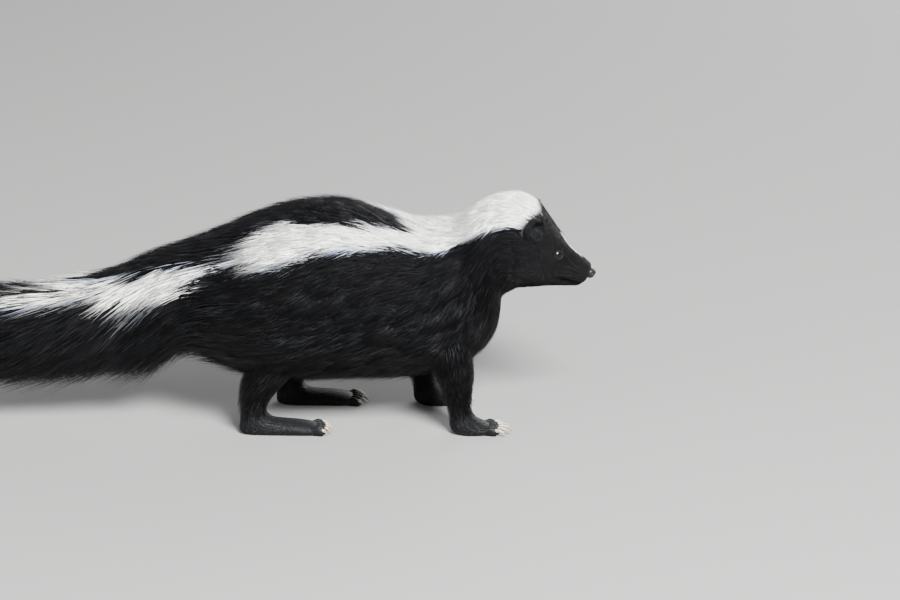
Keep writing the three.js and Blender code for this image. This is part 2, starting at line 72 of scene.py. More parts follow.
def head_place(back, up, aside=0.0):
    """A point of the head: back from the nose tip, up square to the head's axis, and aside to the left."""
    return NOSE_TIP + back * HEAD_BACK + up * HEAD_UP + aside * ASIDE


def ear_middle(hand):
    return head_place(EAR["back"], EAR["up"], hand * EAR["aside"])


def station(front_x, high, rear_x, low, half, above, beside, below, y=0.0):
    """A row of an outline: the middle of its top and bottom, half its width, and its coat's depths."""
    return [front_x, y, high, rear_x, y, low, half, above, beside, below]


def head_station(back, up, low_back, low_up, *rest):
    return [*head_place(back, up), *head_place(low_back, low_up), *rest]


# Stations: place and height of the top and of the bottom, half the width, the coat's depths above, beside
# and below, and how far aside the middle lies. On the head they count back and up from the nose tip.
HEAD_OUTLINE = [
    (2, 3.5, 4, -10, 8, 1, 1, 1),
    (8, 6.5, 8, -15.5, 10.8, 1.5, 1.5, 1.5),
    (16, 9, 15, -19.5, 13.2, 2, 2, 2),
    (26, 12, 24, -24, 16, 2.5, 2.5, 2.5),
    (35, 15.5, 33, -28.5, 19.8, 3, 3, 3),
    (44, 20.5, 41, -33, 25, 3.5, 3.5, 4),
    (57, 28.5, 49, -37.5, 30.5, 5, 5, 6),
    (73, 36.5, 56, -42.5, 34, 11, 7, 8),
    (94, 36.5, 60, -49, 36.5, 15, 9, 9),
    (115, 21.5, 63, -56, 38, 15, 11, 10),
]
BODY_OUTLINE = [
    (205, 190, 238, 99, 43, 16, 13, 12),
    (184, 187, 229, 71, 50, 18, 15, 14),
    (163, 187, 196, 49, 58, 20, 17, 14),
    (134, 196, 148, 44, 65, 22, 18, 14),
    (95, 205, 96, 44, 72, 23, 20, 14),
    (48, 200, 42, 46, 76, 24, 21, 16),
    (9, 184.5, -6, 57, 68, 24, 23, 20),
    (-28, 170.5, -40, 68, 49, 23, 24, 28, -1),
    (-68, 158, -77, 50, 39, 24, 26, 46, -3),
    (-113, 139.5, -121, 41, 40, 24, 29, 50, -5),
    (-160, 130, -168, 37, 42, 24, 33, 50, -5),
    (-208, 123, -216, 36, 41, 23, 34, 48, -2),
    (-255, 115, -262, 43, 34, 22, 30, 42, 3),
    (-294, 104, -300, 60, 21, 17, 18, 22, 8),
    (-321, 91, -323, 80, 6, 4, 4, 4, 11),
]
FRONT_LEG = [
    (0, 106, -44, 96, 20, 8, 8, 8),
    (6, 80, -36, 71, 20, 8, 8, 8),
    (8, 58, -26, 50, 18, 8, 8, 8),
    (6, 38, -19, 33, 14.5, 7, 6, 8),
    (5, 22, -16, 17, 12.5, 4, 4, 5),
    (9, 14, -14, 4, 13, 2, 2, 2),
    (14, 11, -5, -1.6, 13.2, 1.5, 1.5, 1.5),
    (19, 8.6, 9, -1.6, 12.8, 1.5, 1.5, 1.5),
    (23, 6.5, 19, -1, 11, 1, 1, 1),
]
HIND_LEG = [
    (44, 104, -22, 92, 27, 9, 9, 9),
    (38, 78, -22, 66, 25, 9, 9, 9),
    (21, 56, -27, 45, 20, 9, 8, 9),
    (4, 39, -29, 28, 15, 7, 7, 8),
    (-5, 23, -29, 15, 12.5, 4, 4, 5),
    (-1, 15, -29, 2, 11.8, 2, 2, 2),
    (9, 13, -16, -1.8, 11.5, 1.5, 1.5, 1.5),
    (24, 11.5, 8, -1.8, 12.3, 1.5, 1.5, 1.5),
    (36, 9, 29, -1.4, 12.6, 1.5, 1.5, 1.5),
    (41, 6.5, 38, -1, 11, 1, 1, 1),
]
# Soft forms of the flesh, the same on both sides: where they are highest, how far they reach and how high
FORMS = [
    (head_place(12, -3, 12), 6, 1.5),
    (head_place(40, 17, 13), 6, 2.0),
    (head_place(36, 5, 20), 5, -2.0),
    (head_place(50, -8, 29), 11, 2.5),
    (head_place(28, 10, 9), 6, -1.2),
    (np.array([188.0, 60.0, 92.0]), 26, 5.0),
    (np.array([46.0, 74.0, 92.0]), 30, 6.0),
]
# Toes: how far aside each lies and its size, and its turn outwards for each millimetre aside
TOES = [(-10, 0.8), (-5.1, 0.95), (0, 1.0), (5.1, 0.95), (10, 0.8)]
TOE_TURN = math.radians(1.1)
# Toes and claws from root to tip: share of the reach, height over the floor, half width and half height
TOE_FORM = [
    (-0.45, 3.4, 1.7, 3.2),
    (0.0, 3.8, 1.9, 3.5),
    (0.5, 4.3, 2.1, 4.2),
    (0.85, 3.9, 2.1, 3.9),
    (1.1, 3.4, 1.7, 3.0),
    (1.2, 3.1, 0.9, 1.6),
    (1.23, 3.0, 0.05, 0.1),
]
CLAW_FORM = [
    (-0.12, 4.6, 1.2, 1.7),
    (0.06, 5.2, 1.2, 1.9),
    (0.3, 5.4, 1.1, 1.7),
    (0.6, 4.6, 0.9, 1.3),
    (0.85, 2.9, 0.55, 0.8),
    (1.0, 1.4, 0.04, 0.05),
]
FORM_GAP = 5
# How far ahead of the foot's place the toes root, how far they reach, and how far their claws reach
FOOT_REACH = {"front": (17, 11, 13), "hind": (36, 10, 7)}


def smooth(value, low, high):
    share = np.clip((value - low) / (high - low), 0, 1)
    return share * share * (3 - 2 * share)


def unit(vectors):
    return vectors / np.maximum(np.linalg.norm(vectors, axis=-1, keepdims=True), 1e-9)


def length_of(vectors):
    return np.linalg.norm(vectors, axis=-1)


def running(steps):
    """The sum of the steps up to each place, from 0."""
    return np.concatenate([[0], np.cumsum(steps)])


def bell(value, width):
    return np.exp(-((value / width) ** 2))


def spline(rows, per_gap):
    """A smooth run through rows of numbers, with per_gap steps from each to the next."""
    knots = np.array(rows, float)
    gaps = len(knots) - 1
    padded = np.vstack([2 * knots[0] - knots[1], knots, 2 * knots[-1] - knots[-2]])
    place = np.arange(per_gap * gaps + 1) / per_gap
    first = np.minimum(place.astype(int), gaps - 1)
    u = (place - first)[:, None]
    before, start, end, after = (padded[first + k] for k in range(4))
    slope, next_slope = (end - before) / 2, (after - start) / 2
    cubic = 2 * start - 2 * end + slope + next_slope
    square = -3 * start + 3 * end - 2 * slope - next_slope
    return cubic * u**3 + square * u**2 + slope * u + start


def mouth_place(place):
    """How far back from the nose a place lies, and how far above the mouth."""
    back = (place - NOSE_TIP) @ HEAD_BACK
    return back, (place - NOSE_TIP) @ HEAD_UP - (MOUTH["front"] + MOUTH["slope"] * back)


def lip_rise(place):
    """The upper lip stands out over the mouth and the lower lip is drawn in under it."""
    back, above = mouth_place(place)
    fade = (1 - smooth(back, MOUTH["corner"] - 8, MOUTH["corner"] + 6)) * (back <= MOUTH["corner"] + 8)
    return fade * (0.8 * bell(above - 2, 2) - 1.3 * bell(above + 2.2, 2.4))


class Body:
    """Any point of a body by distance along it, angle round it and level in its coat.

    Level 0 is the skin and 1 the coat's tips. Angle 0 is the top, and a quarter turn the left side.
    """

    def __init__(self, stations, forms=(), blunt=0.0):
        self.blunt = blunt
        self.rows = spline(stations, PER_GAP)
        middle = (self.rows[:, :3] + self.rows[:, 3:6]) / 2
        self.along = running(length_of(np.diff(middle, axis=0)))
        self.length = self.along[-1]
        self.forms = forms

    def section(self, along):
        row = np.stack([np.interp(along, self.along, self.rows[:, k]) for k in range(10)], -1)
        return row[..., :3], row[..., 3:6], row[..., 6], row[..., 7:]

    def point(self, along, angle, level):
        along, angle, level = np.broadcast_arrays(along, angle, level)
        top, bottom, half, coat = self.section(along)
        up = unit(top - bottom)
        inset = 1 - level
        high = top - up * (inset * coat[..., 0])[..., None]
        low = bottom + up * (inset * coat[..., 2])[..., None]
        height = length_of(high - low) / 2
        width = half - inset * coat[..., 1]
        s, c = np.sin(angle), np.cos(angle)
        if self.blunt:
            share = np.clip(along / self.blunt, 0, 1)
            start = np.sqrt(share * (2 - share))
            height, width = height * start, width * start
        place = (high + low) / 2 + up * (height * np.sign(c) * np.abs(c) ** SQUARENESS)[..., None]
        place[..., 1] += width * np.sign(s) * np.abs(s) ** SQUARENESS * (1 - PEAR * c)
        if not len(self.forms):
            return place
        rise = lip_rise(place)
        for middle, reach, most in self.forms:
            away = place - middle
            away[..., 1] = np.abs(place[..., 1]) - middle[1]
            away = length_of(away) / reach
            rise = rise + np.where(away < 4, most * np.exp(-(away**2) / 2), 0)
        place = place + up * (rise * c)[..., None]
        place[..., 1] += rise * s
        return place

    def frame(self, along, angle, level):
        """Places on the body with the directions back along its surface, round it and out of it."""
        origin = self.point(along, angle, level)
        turn = unit(self.point(along, angle + 0.04, level) - self.point(along, angle - 0.04, level))
        back = unit(self.point(along + 1, angle, level) - self.point(along - 1, angle, level))
        out = unit(np.cross(back, turn))
        top, bottom, _, _ = self.section(along)
        inward = np.sum(out * (origin - (top + bottom) / 2), -1, keepdims=True) < 0
        return origin, back, turn, np.where(inward, -out, out)


outline = [head_station(*row) for row in HEAD_OUTLINE] + [station(*row) for row in BODY_OUTLINE]
skunk = Body(outline, FORMS, blunt=4.0)


def leg_body(name):
    rows = FRONT_LEG if name.startswith("front") else HIND_LEG
    stations = np.array([station(*row) for row in rows], float)
    stations[:, [0, 3]] += FEET[name]
    stations[:, [1, 4]] += LEG_ASIDE * (1 if name.endswith("left") else -1)
    return Body(stations)


def ankle_of(body):
    return body.along[PER_GAP * ANKLE_STATION]


legs = {name: leg_body(name) for name in FEET}


# Meshes


def make_object(name, points, faces):
    """An object from points in millimetres and a list of faces."""
    mesh = bpy.data.meshes.new(name)
    mesh.from_pydata((np.asarray(points) * MM).tolist(), [], faces)
    mesh.update()
    made = bpy.data.objects.new(name, mesh)
    bpy.context.scene.collection.objects.link(made)
    return made


def fill(data, key, values, kind=np.float32):
    data.foreach_set(key, np.asarray(values).astype(kind).ravel())


def shade_smooth(mesh):
    fill(mesh.polygons, "use_smooth", np.ones(len(mesh.polygons)), bool)


def face_outwards(made):
    work = bmesh.new()
    work.from_mesh(made.data)
    bmesh.ops.recalc_face_normals(work, faces=work.faces)
    work.to_mesh(made.data)
    work.free()
    shade_smooth(made.data)


def stitch(first, second):
    """Faces between two rings of vertices; the second may have half as many."""
    count = len(second)
    if len(first) == count:
        return [[first[k], first[(k + 1) % count], second[(k + 1) % count], second[k]] for k in range(count)]
    many = len(first)
    return [[first[2 * k], first[2 * k + 1], first[(2 * k + 2) % many], second[(k + 1) % count], second[k]]
            for k in range(count)]


def closed_rings(rings):
    """Points and faces of a closed form from its rings of points, with a middle point at each end."""
    points = np.vstack([*rings, rings[0].mean(axis=0)[None], rings[-1].mean(axis=0)[None]])
    starts = running([len(ring) for ring in rings])
    ids = [list(range(starts[i], starts[i + 1])) for i in range(len(rings))]
    faces = [face for first, second in zip(ids, ids[1:]) for face in stitch(first, second)]
    for ring, middle in ((ids[0], starts[-1]), (ids[-1][::-1], starts[-1] + 1)):
        faces += [[ring[k], middle, ring[(k + 1) % len(ring)]] for k in range(len(ring))]
    return points, faces


def around(sides, start=0.0):
    """The angles of a full turn in equal steps."""
    return start + 2 * math.pi * np.arange(sides) / sides


def oval(middle, first, wide, second, high, sides):
    """A ring of points, given half its width along one direction and half its height along another."""
    turn = around(sides)
    return middle + np.outer(np.cos(turn) * wide, first) + np.outer(np.sin(turn) * high, second)


def tree_of(points):
    tree = kdtree.KDTree(len(points))
    for k, point in enumerate(points):
        tree.insert(point, k)
    tree.balance()
    return tree


def boolean_union(base, other):
    change = base.modifiers.new("join", "BOOLEAN")
    change.operation = "UNION"
    change.solver = "MANIFOLD"
    change.object = other
    bpy.context.view_layer.objects.active = base
    bpy.ops.object.modifier_apply(modifier=change.name)
    bpy.data.objects.remove(other)


def joined(name, parts):
    """One object from several lists of points and faces."""
    points, faces, count = [], [], 0
    for some_points, some_faces in parts:
        points.append(some_points)
        faces += [[k + count for k in face] for face in some_faces]
        count += len(some_points)
    made = make_object(name, np.vstack(points), faces)
    face_outwards(made)
    return made


# The head's finer forms


def axes_of(ahead, up):
    first = unit(ahead)
    second = unit(np.cross(up, first))
    return first, second, np.cross(first, second)


def eye_frame(hand):
    origin, _, _, out = skunk.frame(EYE["along"], hand * EYE["angle"], 0.97)
    ahead = unit(out + np.array([0, 0.5 * hand, 0.15]))
    return origin - ahead * EYE["sink"], axes_of(ahead, HEAD_UP)


LID_RADIUS = (EYE["long"] ** 2 / EYE["high"] + EYE["high"]) / 2
LID_SHIFT = LID_RADIUS - EYE["high"]
# How far out from the eyeball's middle the face and the tufts on it may reach beside the opening
FACE_DISH = 3.3
TUFT_DISH = 3.5


def lid_opening(across, high):
    """How far a place lies outside the opening between the lids, below 0 inside it."""
    return np.maximum(np.hypot(across, high - LID_SHIFT), np.hypot(across, high + LID_SHIFT)) - LID_RADIUS


def lid_mound(across, high, radius, stretch):
    return np.sqrt(np.maximum(radius**2 - (across / stretch) ** 2 - high**2, 0))


def dish(across, high, depth):
    """How far out the face may reach: little beside the opening, more away from it."""
    return depth + 0.5 * np.maximum(lid_opening(across, high), 0)


def carve_eye(points, hand):
    """The rise of the face round the eyeball and the hollow that holds it."""
    middle, (ahead, aside, up) = eye_frame(hand)
    away = points - middle
    depth, across, high = away @ ahead, away @ aside, away @ up
    reach = np.hypot(across, high)
    near = (depth > 0) & (reach < 13)
    softness = 0.7
    most = dish(across, high, FACE_DISH)
    face = most - softness * np.logaddexp((most - depth) / softness, 0)
    lid = softness * np.logaddexp(face / softness, lid_mound(across, high, 4.9, 1.25) / softness)
    inside = 1 - smooth(lid_opening(across, high), -0.2, 0.5)
    moved = lid * (1 - inside) + 0.9 * inside
    fade = 1 - smooth(reach, 6.5, 8.5)
    return points + np.where(near, (moved - depth) * fade, 0)[:, None] * ahead


# Rows of the lids from the eyeball outwards: distance from the opening, radius, stretch and drop
LID_ROWS = [
    (-0.4, -0.4, 1.0, 0.0),
    (-0.12, 0.0, 1.0, 0.0),
    (0.0, 0.3, 1.0, 0.0),
    (0.16, 0.55, 1.02, 0.0),
    (0.42, 0.72, 1.05, 0.0),
    (0.8, 0.78, 1.1, 0.0),
    (1.25, 0.72, 1.15, 0.05),
    (1.7, 0.66, 1.18, 0.3),
    (2.1, 0.72, 1.2, 0.12),
    (2.6, 0.7, 1.22, 0.25),
    (3.2, 0.6, 1.25, 1.2),
    (3.6, 0.4, 1.25, 2.6),
    (2.0, -0.5, 1.2, 3.4),
    (0.2, -1.2, 1.0, 1.6),
]


def lids(hand):
    """A closed ring of lids, with a rounded margin on the eyeball and a fold outside it."""
    middle, (ahead, aside, up) = eye_frame(hand)
    turn = around(80)
    c, s = np.cos(turn), np.sin(turn)
    opening = np.sqrt(LID_RADIUS**2 - (LID_SHIFT * c) ** 2) - LID_SHIFT * np.abs(s)
    rings = []
    for out, rise, stretch, drop in LID_ROWS:
        across, high = (opening + out) * c, (opening + out) * s
        depth = lid_mound(across, high, EYE["radius"] + rise, stretch)
        depth = depth - drop * np.where(high > 0, 1.0, 0.75)
        rings.append(middle + np.outer(depth, ahead) + np.outer(across, aside) + np.outer(high, up))
    points = np.vstack(rings)
    count, sides = len(rings), len(turn)
    faces = [
        [ring * sides + k, ring * sides + (k + 1) % sides,
         (ring + 1) % count * sides + (k + 1) % sides, (ring + 1) % count * sides + k]
        for ring in range(count) for k in range(sides)
    ]
    return points, faces


def over_eyes(middles):
    """Tufts laid over the lids, and which of them keep off the opening between them."""
    clear = np.ones(len(middles), bool)
    lift = np.linspace(-0.15, 0.45, middles.shape[1])
    for hand in (-1, 1):
        middle, (ahead, aside, up) = eye_frame(hand)
        away = middles - middle
        depth, across, high = away @ ahead, away @ aside, away @ up
        near = (np.hypot(across, high) < 8) & (length_of(away) < 14)
        least = lid_mound(across, high, EYE["radius"] + 0.72, 1.2) + lift
        most = np.maximum(dish(across, high, TUFT_DISH) + lift, least)
        middles = middles + np.where(near, np.clip(depth, least, most) - depth, 0)[..., None] * ahead
        clear &= ~np.any(near & (lid_opening(across, high) < 0.55), axis=1)
    return middles, clear


def carve_mouth(points, normals):
    """The line of the mouth, with a crease behind its corner."""
    back, above = mouth_place(points)
    fade = 1 - smooth(back, MOUTH["corner"] - 7, MOUTH["corner"] + 1)
    corner = head_place(MOUTH["corner"], MOUTH["front"] + MOUTH["slope"] * MOUTH["corner"])
    fold = np.hypot(back - MOUTH["corner"] - 2.5, (points - corner) @ HEAD_UP + 1)
    crease = 0.6 * bell(fold - 3, 0.9) * (back > MOUTH["corner"])
    return points - normals * (1.5 * bell(above, 0.55) * fade + crease)[:, None]


def ripple(points, reach, height, seed):
    """Small soft unevenness: a few waves in fixed random directions."""
    waves = np.random.default_rng(seed)
    total = np.zeros(len(points))
    for _ in range(8):
        way = unit(waves.normal(size=3)) * waves.uniform(0.7, 1.4) * 2 * math.pi / reach
        total += np.sin(points @ way + waves.uniform(0, 2 * math.pi))
    return height * total / 3


# The skin

FACE_LEVEL = 0.75
BODY_LEVEL = 0.42
HEAD_END = 92
HEAD_SIDES = 256
BODY_SIDES = 128
SOLE_HEIGHT = 0.25
TOE_HEIGHT = 0.3
TUFT_HEIGHT = 0.4
SKIN_SHORT_OF_END = 10


def skin_level(along):
    """How deep the skin lies in the coat: near its tips on the face and under half way behind it."""
    tail = 0.14 * smooth(along, 400, 450) + 0.2 * smooth(along, 600, 655)
    return FACE_LEVEL + (BODY_LEVEL - FACE_LEVEL) * smooth(along, 48, 80) - tail


def skin_tube():
    """The skin of head, body and tail, with each point's distance along and angle round it."""
    head_steps = np.linspace(0.0, HEAD_END, 168)
    body_steps = np.linspace(HEAD_END + 1.5, skunk.length - SKIN_SHORT_OF_END, 196)
    rings, places = [], []
    for steps, sides in ((head_steps, HEAD_SIDES), (body_steps, BODY_SIDES)):
        angles = around(sides, -math.pi)
        for along in steps:
            rings.append(skunk.point(along, angles, skin_level(along)))
            places.append(np.stack([np.full(sides, along), angles], -1))
    points, faces = closed_rings(rings)
    places = np.vstack([*places, [[0, 0]], [[skunk.length, 0]]])
    head = slice(HEAD_SIDES * len(head_steps))
    along, angle = places[head].T
    normals = skunk.frame(along, angle, skin_level(along))[3]
    carved = carve_mouth(points[head], normals)
    carved = carved + normals * ripple(carved, 16, 0.08, 3)[:, None]
    for hand in (-1, 1):
        carved = carve_eye(carved, hand)
    points[head] = carved
    return points, faces, places


def leg_level(along, ankle):
    """How deep a leg's skin lies in its coat: deeper at its top, where it runs into the flank."""
    return 0.5 + 0.3 * smooth(along, ankle - 10, ankle + 12) - 0.9 * (1 - smooth(along, 8, 46))


def leg_tube(name):
    """A leg with the palm of its foot, flat on the floor."""
    body = legs[name]
    ankle = ankle_of(body)
    steps = np.concatenate([np.linspace(6, ankle, 40), np.linspace(ankle + 1, body.length - 0.3, 60)])
    angles = around(56, -math.pi)
    points, faces = closed_rings([body.point(at, angles, leg_level(at, ankle)) for at in steps])
    points[:, 2] = np.maximum(points[:, 2], SOLE_HEIGHT)
    return points, faces


def toe_places(name):
    """Each toe's root, its direction ahead, its size and its foot's reach."""
    kind, side = name.split("_")
    hand = 1 if side == "left" else -1
    root, reach, claw = FOOT_REACH[kind]
    for aside, size in TOES:
        turn = TOE_TURN * aside
        ahead = np.array([math.cos(turn), hand * math.sin(turn), 0.0])
        start = np.array([FEET[name] + root, hand * (LEG_ASIDE + aside), 0.0]) - 4 * (1 - size) * ahead
        yield start, ahead, size, reach, claw


def pointed(form, start, ahead, reach, sides):
    """A closed form from root to tip: rows of share of reach, height, half width and half height."""
    across = np.cross(FLOOR_UP, ahead)
    rings = []
    for share, high, wide, thick in spline(form, FORM_GAP):
        middle = start + ahead * share * reach + FLOOR_UP * high
        rings.append(oval(middle, across, max(wide, 0.02), FLOOR_UP, max(thick, 0.02), sides))
    points, faces = closed_rings(rings)
    points[:, 2] = np.maximum(points[:, 2], TOE_HEIGHT)
    return points, faces


def ear_axes(hand):
    return axes_of(
        np.array([0, hand * 0.75, 0]) - 0.7 * HEAD_BACK + 0.1 * HEAD_UP,
        HEAD_UP + 0.35 * HEAD_BACK + np.array([0, hand * 0.3, 0]),
    )


# The ear's shell from the middle of its back over its rim into its cup: depth, and share of its size
EAR_BACK = [(-EAR["depth"] / 2 * math.cos(math.pi * k), math.sin(math.pi * k))
            for k in np.linspace(0.06, 0.6, 14)]
EAR_RIM = [(2.5, 0.9), (3.0, 0.85), (3.1, 0.79), (2.8, 0.74)]
EAR_CUP = [(2.0, 0.72), (1.0, 0.71), (0.0, 0.69), (-1.0, 0.63),
           (-2.0, 0.54), (-2.8, 0.42), (-3.4, 0.25), (-3.7, 0.08)]


def ear_place(hand, depth, share, turn):
    """A point of an ear: forward of its middle, out by a share of its size, and round it."""
    ahead, aside, up = ear_axes(hand)
    depth, share, turn = (value[..., None] for value in np.broadcast_arrays(depth, share, turn))
    place = ear_middle(hand) + depth * ahead
    place = place + share * np.cos(turn) * EAR["width"] / 2 * aside
    return place + share * np.sin(turn) * EAR["height"] / 2 * up


def ear_shell(hand):
    """A rounded cup with a soft rim, open ahead and outwards."""
    shell = EAR_BACK + EAR_RIM + EAR_CUP
    return closed_rings([ear_place(hand, depth, share, around(48)) for depth, share in shell])


def whole_skin(points, faces):
    """The skin with legs, toes, ears and lids joined on."""
    made = joined("skin", [(points, faces)])
    for name in FEET:
        leg = joined("leg", [leg_tube(name)])
        toes = [pointed(TOE_FORM, start, ahead, size * reach, 14)
                for start, ahead, size, reach, _ in toe_places(name)]
        boolean_union(leg, joined("toes", toes))
        boolean_union(made, leg)
    boolean_union(made, joined("ears", [part(hand) for part in (ear_shell, lids) for hand in (-1, 1)]))
    made.data.materials.clear()
    shade_smooth(made.data)
    return made


skin_points, skin_faces, place_on_skin = skin_tube()
skin = whole_skin(skin_points, skin_faces)


# Markings: white cap, two stripes that part on the shoulders, a patch on each side of the tail


def edge(along, knots):
    places, values = zip(*knots)
    return np.interp(along, places, values)


# Edges of the markings: distance along the body, and degrees round it from the top
STRIPE_LOWER = [
    (60, 20), (65, 32), (69, 46), (72, 53), (76, 60), (84, 63), (102, 55), (116, 47), (130, 46), (142, 49),
    (158, 46), (179, 42), (195, 44), (225, 51), (249, 53), (272, 55), (290, 58), (313, 63), (332, 63),
    (342, 54), (351, 38),
]
STRIPE_UPPER_NEAR = [
    (160, -50), (170, 4), (177, 20), (193, 24), (214, 26), (235, 29), (259, 31), (282, 28), (301, 20),
    (319, 22), (335, 26), (344, 30), (351, 35),
]
STRIPE_UPPER_FAR = [
    (160, -50), (172, -24), (179, -16), (187, -2), (193, 5), (205, 8), (215, 11), (228, 21), (254, 28),
    (282, 28), (301, 22), (319, 25), (335, 28), (344, 32), (351, 36),
]
TAIL_UPPER = [
    (366, 52), (386, 52), (394, 50), (402, 47), (408, 40), (414, 36), (421, 40), (428, 43), (435, 45),
    (442, 43), (451, 33), (461, 23), (474, 12), (492, 6), (510, 4), (530, 5), (545, 12), (552, 18), (600, 20),
    (700, 20),
]
TAIL_LOWER = [
    (366, 52), (376, 62), (384, 72), (391, 79), (397, 85), (404, 87), (411, 83), (421, 79), (430, 78),
    (440, 73), (449, 73), (458, 70), (467, 70), (474, 62), (482, 48), (496, 44), (509, 44), (526, 45),
    (540, 46), (550, 48), (600, 42), (640, 38), (672, 30),
]
CAP_START = 63
STRIPE_END = 346
PATCH_START = 366
PATCH_END = 660
BLAZE = {"start": 14, "end": 40, "half": 1.1}
WISP = {"start": 345, "end": 385, "angle": 50, "half": 1.8}


def white_share(along, angle, soft=4.0):
    """How far a place lies in the white markings, from 0 to 1, by where its hair shows."""
    signed = np.degrees(angle)
    turn = np.abs(signed)
    upper = np.maximum(-signed - edge(along, STRIPE_UPPER_NEAR), signed - edge(along, STRIPE_UPPER_FAR))
    stripe = np.minimum(edge(along, STRIPE_LOWER) - turn, upper)
    stripe = np.minimum(stripe, np.minimum((along - CAP_START) * 2.0, (STRIPE_END - along) * 1.2))
    tail = np.minimum(edge(along, TAIL_LOWER) - turn, turn - edge(along, TAIL_UPPER))
    tail = np.minimum(tail, np.minimum((along - PATCH_START) * 1.2, (PATCH_END - along) * 0.5))
    face_radius = 10 + 0.24 * along
    length = np.minimum(along - BLAZE["start"], BLAZE["end"] - along)
    blaze = np.minimum(BLAZE["half"] - np.radians(turn) * face_radius, length * 0.25) * 3
    length = np.minimum(along - WISP["start"], WISP["end"] - along)
    wisp = np.minimum(WISP["half"] - np.abs(turn - WISP["angle"]), length) * 0.6
    return smooth(np.maximum(np.maximum(stripe, tail), np.maximum(blaze, wisp)), -soft, soft)


BLACK = np.array([0.0036, 0.0041, 0.0051])
WHITE = np.array([0.95, 0.945, 0.90])
# Painted bluish shade, laid on white hair where it meets black at the markings' edges
BLUISH_SHADE = np.array([0.25, 0.34, 0.54])
BROWNISH = np.array([0.0032, 0.0014, 0.0002])
EYE_RIM = np.array([0.009, 0.0065, 0.006])
SKIN_SHADE = 0.8
EYE_DARK = np.array([0.0015, 0.0012, 0.0012])
IRIS = np.array([0.0028, 0.0014, 0.0008])


def coat_length(along):
    """How long the hair is, in millimetres, by where it roots."""
    return edge(along, [
        (0, 3), (30, 5), (50, 8), (62, 14), (80, 26), (110, 32), (160, 42), (230, 50),
        (300, 58), (360, 66), (420, 78), (500, 90), (560, 94), (620, 84), (668, 60),
    ])


def store_colours(mesh, colours):
    layer = mesh.color_attributes.new("coat", "FLOAT_COLOR", "POINT")
    fill(layer.data, "color", np.concatenate([colours, np.ones((len(colours), 1))], axis=1))


# Where along it a hair shows, and how far from the body's own skin the legs and ears begin
SEEN_AT = 0.85
BODY_NEAR = 4


def points_of(made):
    return np.array([vertex.co for vertex in made.data.vertices]) / MM


def colour_skin():
    """The skin's colours, its bare rims round the eyes, and the way its short hair runs."""
    tree = tree_of(skin_points * MM)
    found = [tree.find(vertex.co) for vertex in skin.data.vertices]
    along, angle = place_on_skin[[hit[1] for hit in found]].T
    distance = np.array([hit[2] for hit in found])
    place = points_of(skin)
    share = white_share(along + SEEN_AT * coat_length(along), angle)
    share = np.where(distance > BODY_NEAR * MM, 0, share)
    for hand in (-1, 1):
        share = share * smooth(length_of(place - ear_middle(hand)), 13, 18)
    share = share[:, None]
    colours = BLACK * SKIN_SHADE * (1 - share) + WHITE * SKIN_SHADE * share
    for hand in (-1, 1):
        middle, (_, aside, up) = eye_frame(hand)
        away = place - middle
        rim = 1 - smooth(lid_opening(away @ aside, away @ up), 0.3, 1.4)
        rim = (rim * (length_of(away) < 12))[:, None]
        colours = colours * (1 - rim) + EYE_RIM * rim
    store_colours(skin.data, colours)
    flow = skin.data.attributes.new("flow", "FLOAT_VECTOR", "POINT")
    fill(flow.data, "vector", np.stack([along * MM, angle * 0.045, place[:, 2] * MM * 0.2], -1))


colour_skin()


# The coat


def even_places(count, seed):
    """Evenly scattered pairs of numbers from 0 to 1."""
    k = np.arange(count) + 1
    shift = np.random.default_rng(seed).random(2)
    return (k * 0.7548776662 + shift[0]) % 1, (k * 0.5698402910 + shift[1]) % 1


def scattered(body, count, density, start, end, seed):
    """Distances along a body and angles round it, spaced by its girth times density."""
    shares, turns = even_places(count, seed)
    at = np.linspace(start, end, 400)
    top, bottom, half, _ = body.section(at)
    weight = (length_of(top - bottom) / 2 + half) * density(at)
    total = running((weight[1:] + weight[:-1]) / 2)
    return np.interp(shares * total[-1], total, at), 2 * math.pi * turns - math.pi


def lie(along, angle):
    """How far round the body a hair turns from root to tip: down the flanks and away from the back."""
    turn = np.abs(angle)
    most = 13 + 7 * smooth(along, 380, 450) + 22 * smooth(along, 340, 395) * (1 - smooth(along, 450, 540))
    droop = np.radians(most) * smooth(turn, 0.15, 1.2) * (1 - 0.8 * smooth(turn, 1.9, 3.0))
    return np.sign(angle) * droop * smooth(along, 30, 160)


# Where the rings of a tuft and its tip lie from root to tip, and the width of each ring
LONG = np.array([0.0, 0.36, 0.72, 1.0])
SHORT = np.array([0.0, 0.55, 1.0])
WIDTHS = {4: np.array([0.75, 1.0, 0.62]), 3: np.array([0.85, 0.85])}
MOST_TRIANGLES = 199_000
ATLAS_PATCH = 0.003
coat_pieces = []


def tuft_faces(rings):
    """Corners, sizes and map places of the faces of one three-sided tuft."""
    corners, sizes, places = [0, 2, 1], [3], [(0, 0), (0, 1), (0, 0.5)]
    for run in range(rings - 1):
        for k in range(3):
            a, b = 3 * run + k, 3 * run + (k + 1) % 3
            corners += [a, b, b + 3, a + 3]
            sizes.append(4)
            near, far = run / rings, (run + 1) / rings
            places += [(near, k / 3), (near, (k + 1) / 3), (far, (k + 1) / 3), (far, k / 3)]
    last = 3 * (rings - 1)
    for k in range(3):
        corners += [last + k, last + (k + 1) % 3, last + 3]
        sizes.append(3)
        places += [((rings - 1) / rings, k / 3), ((rings - 1) / rings, (k + 1) / 3), (1, (k + 0.5) / 3)]
    return np.array(corners), np.array(sizes), np.array(places)


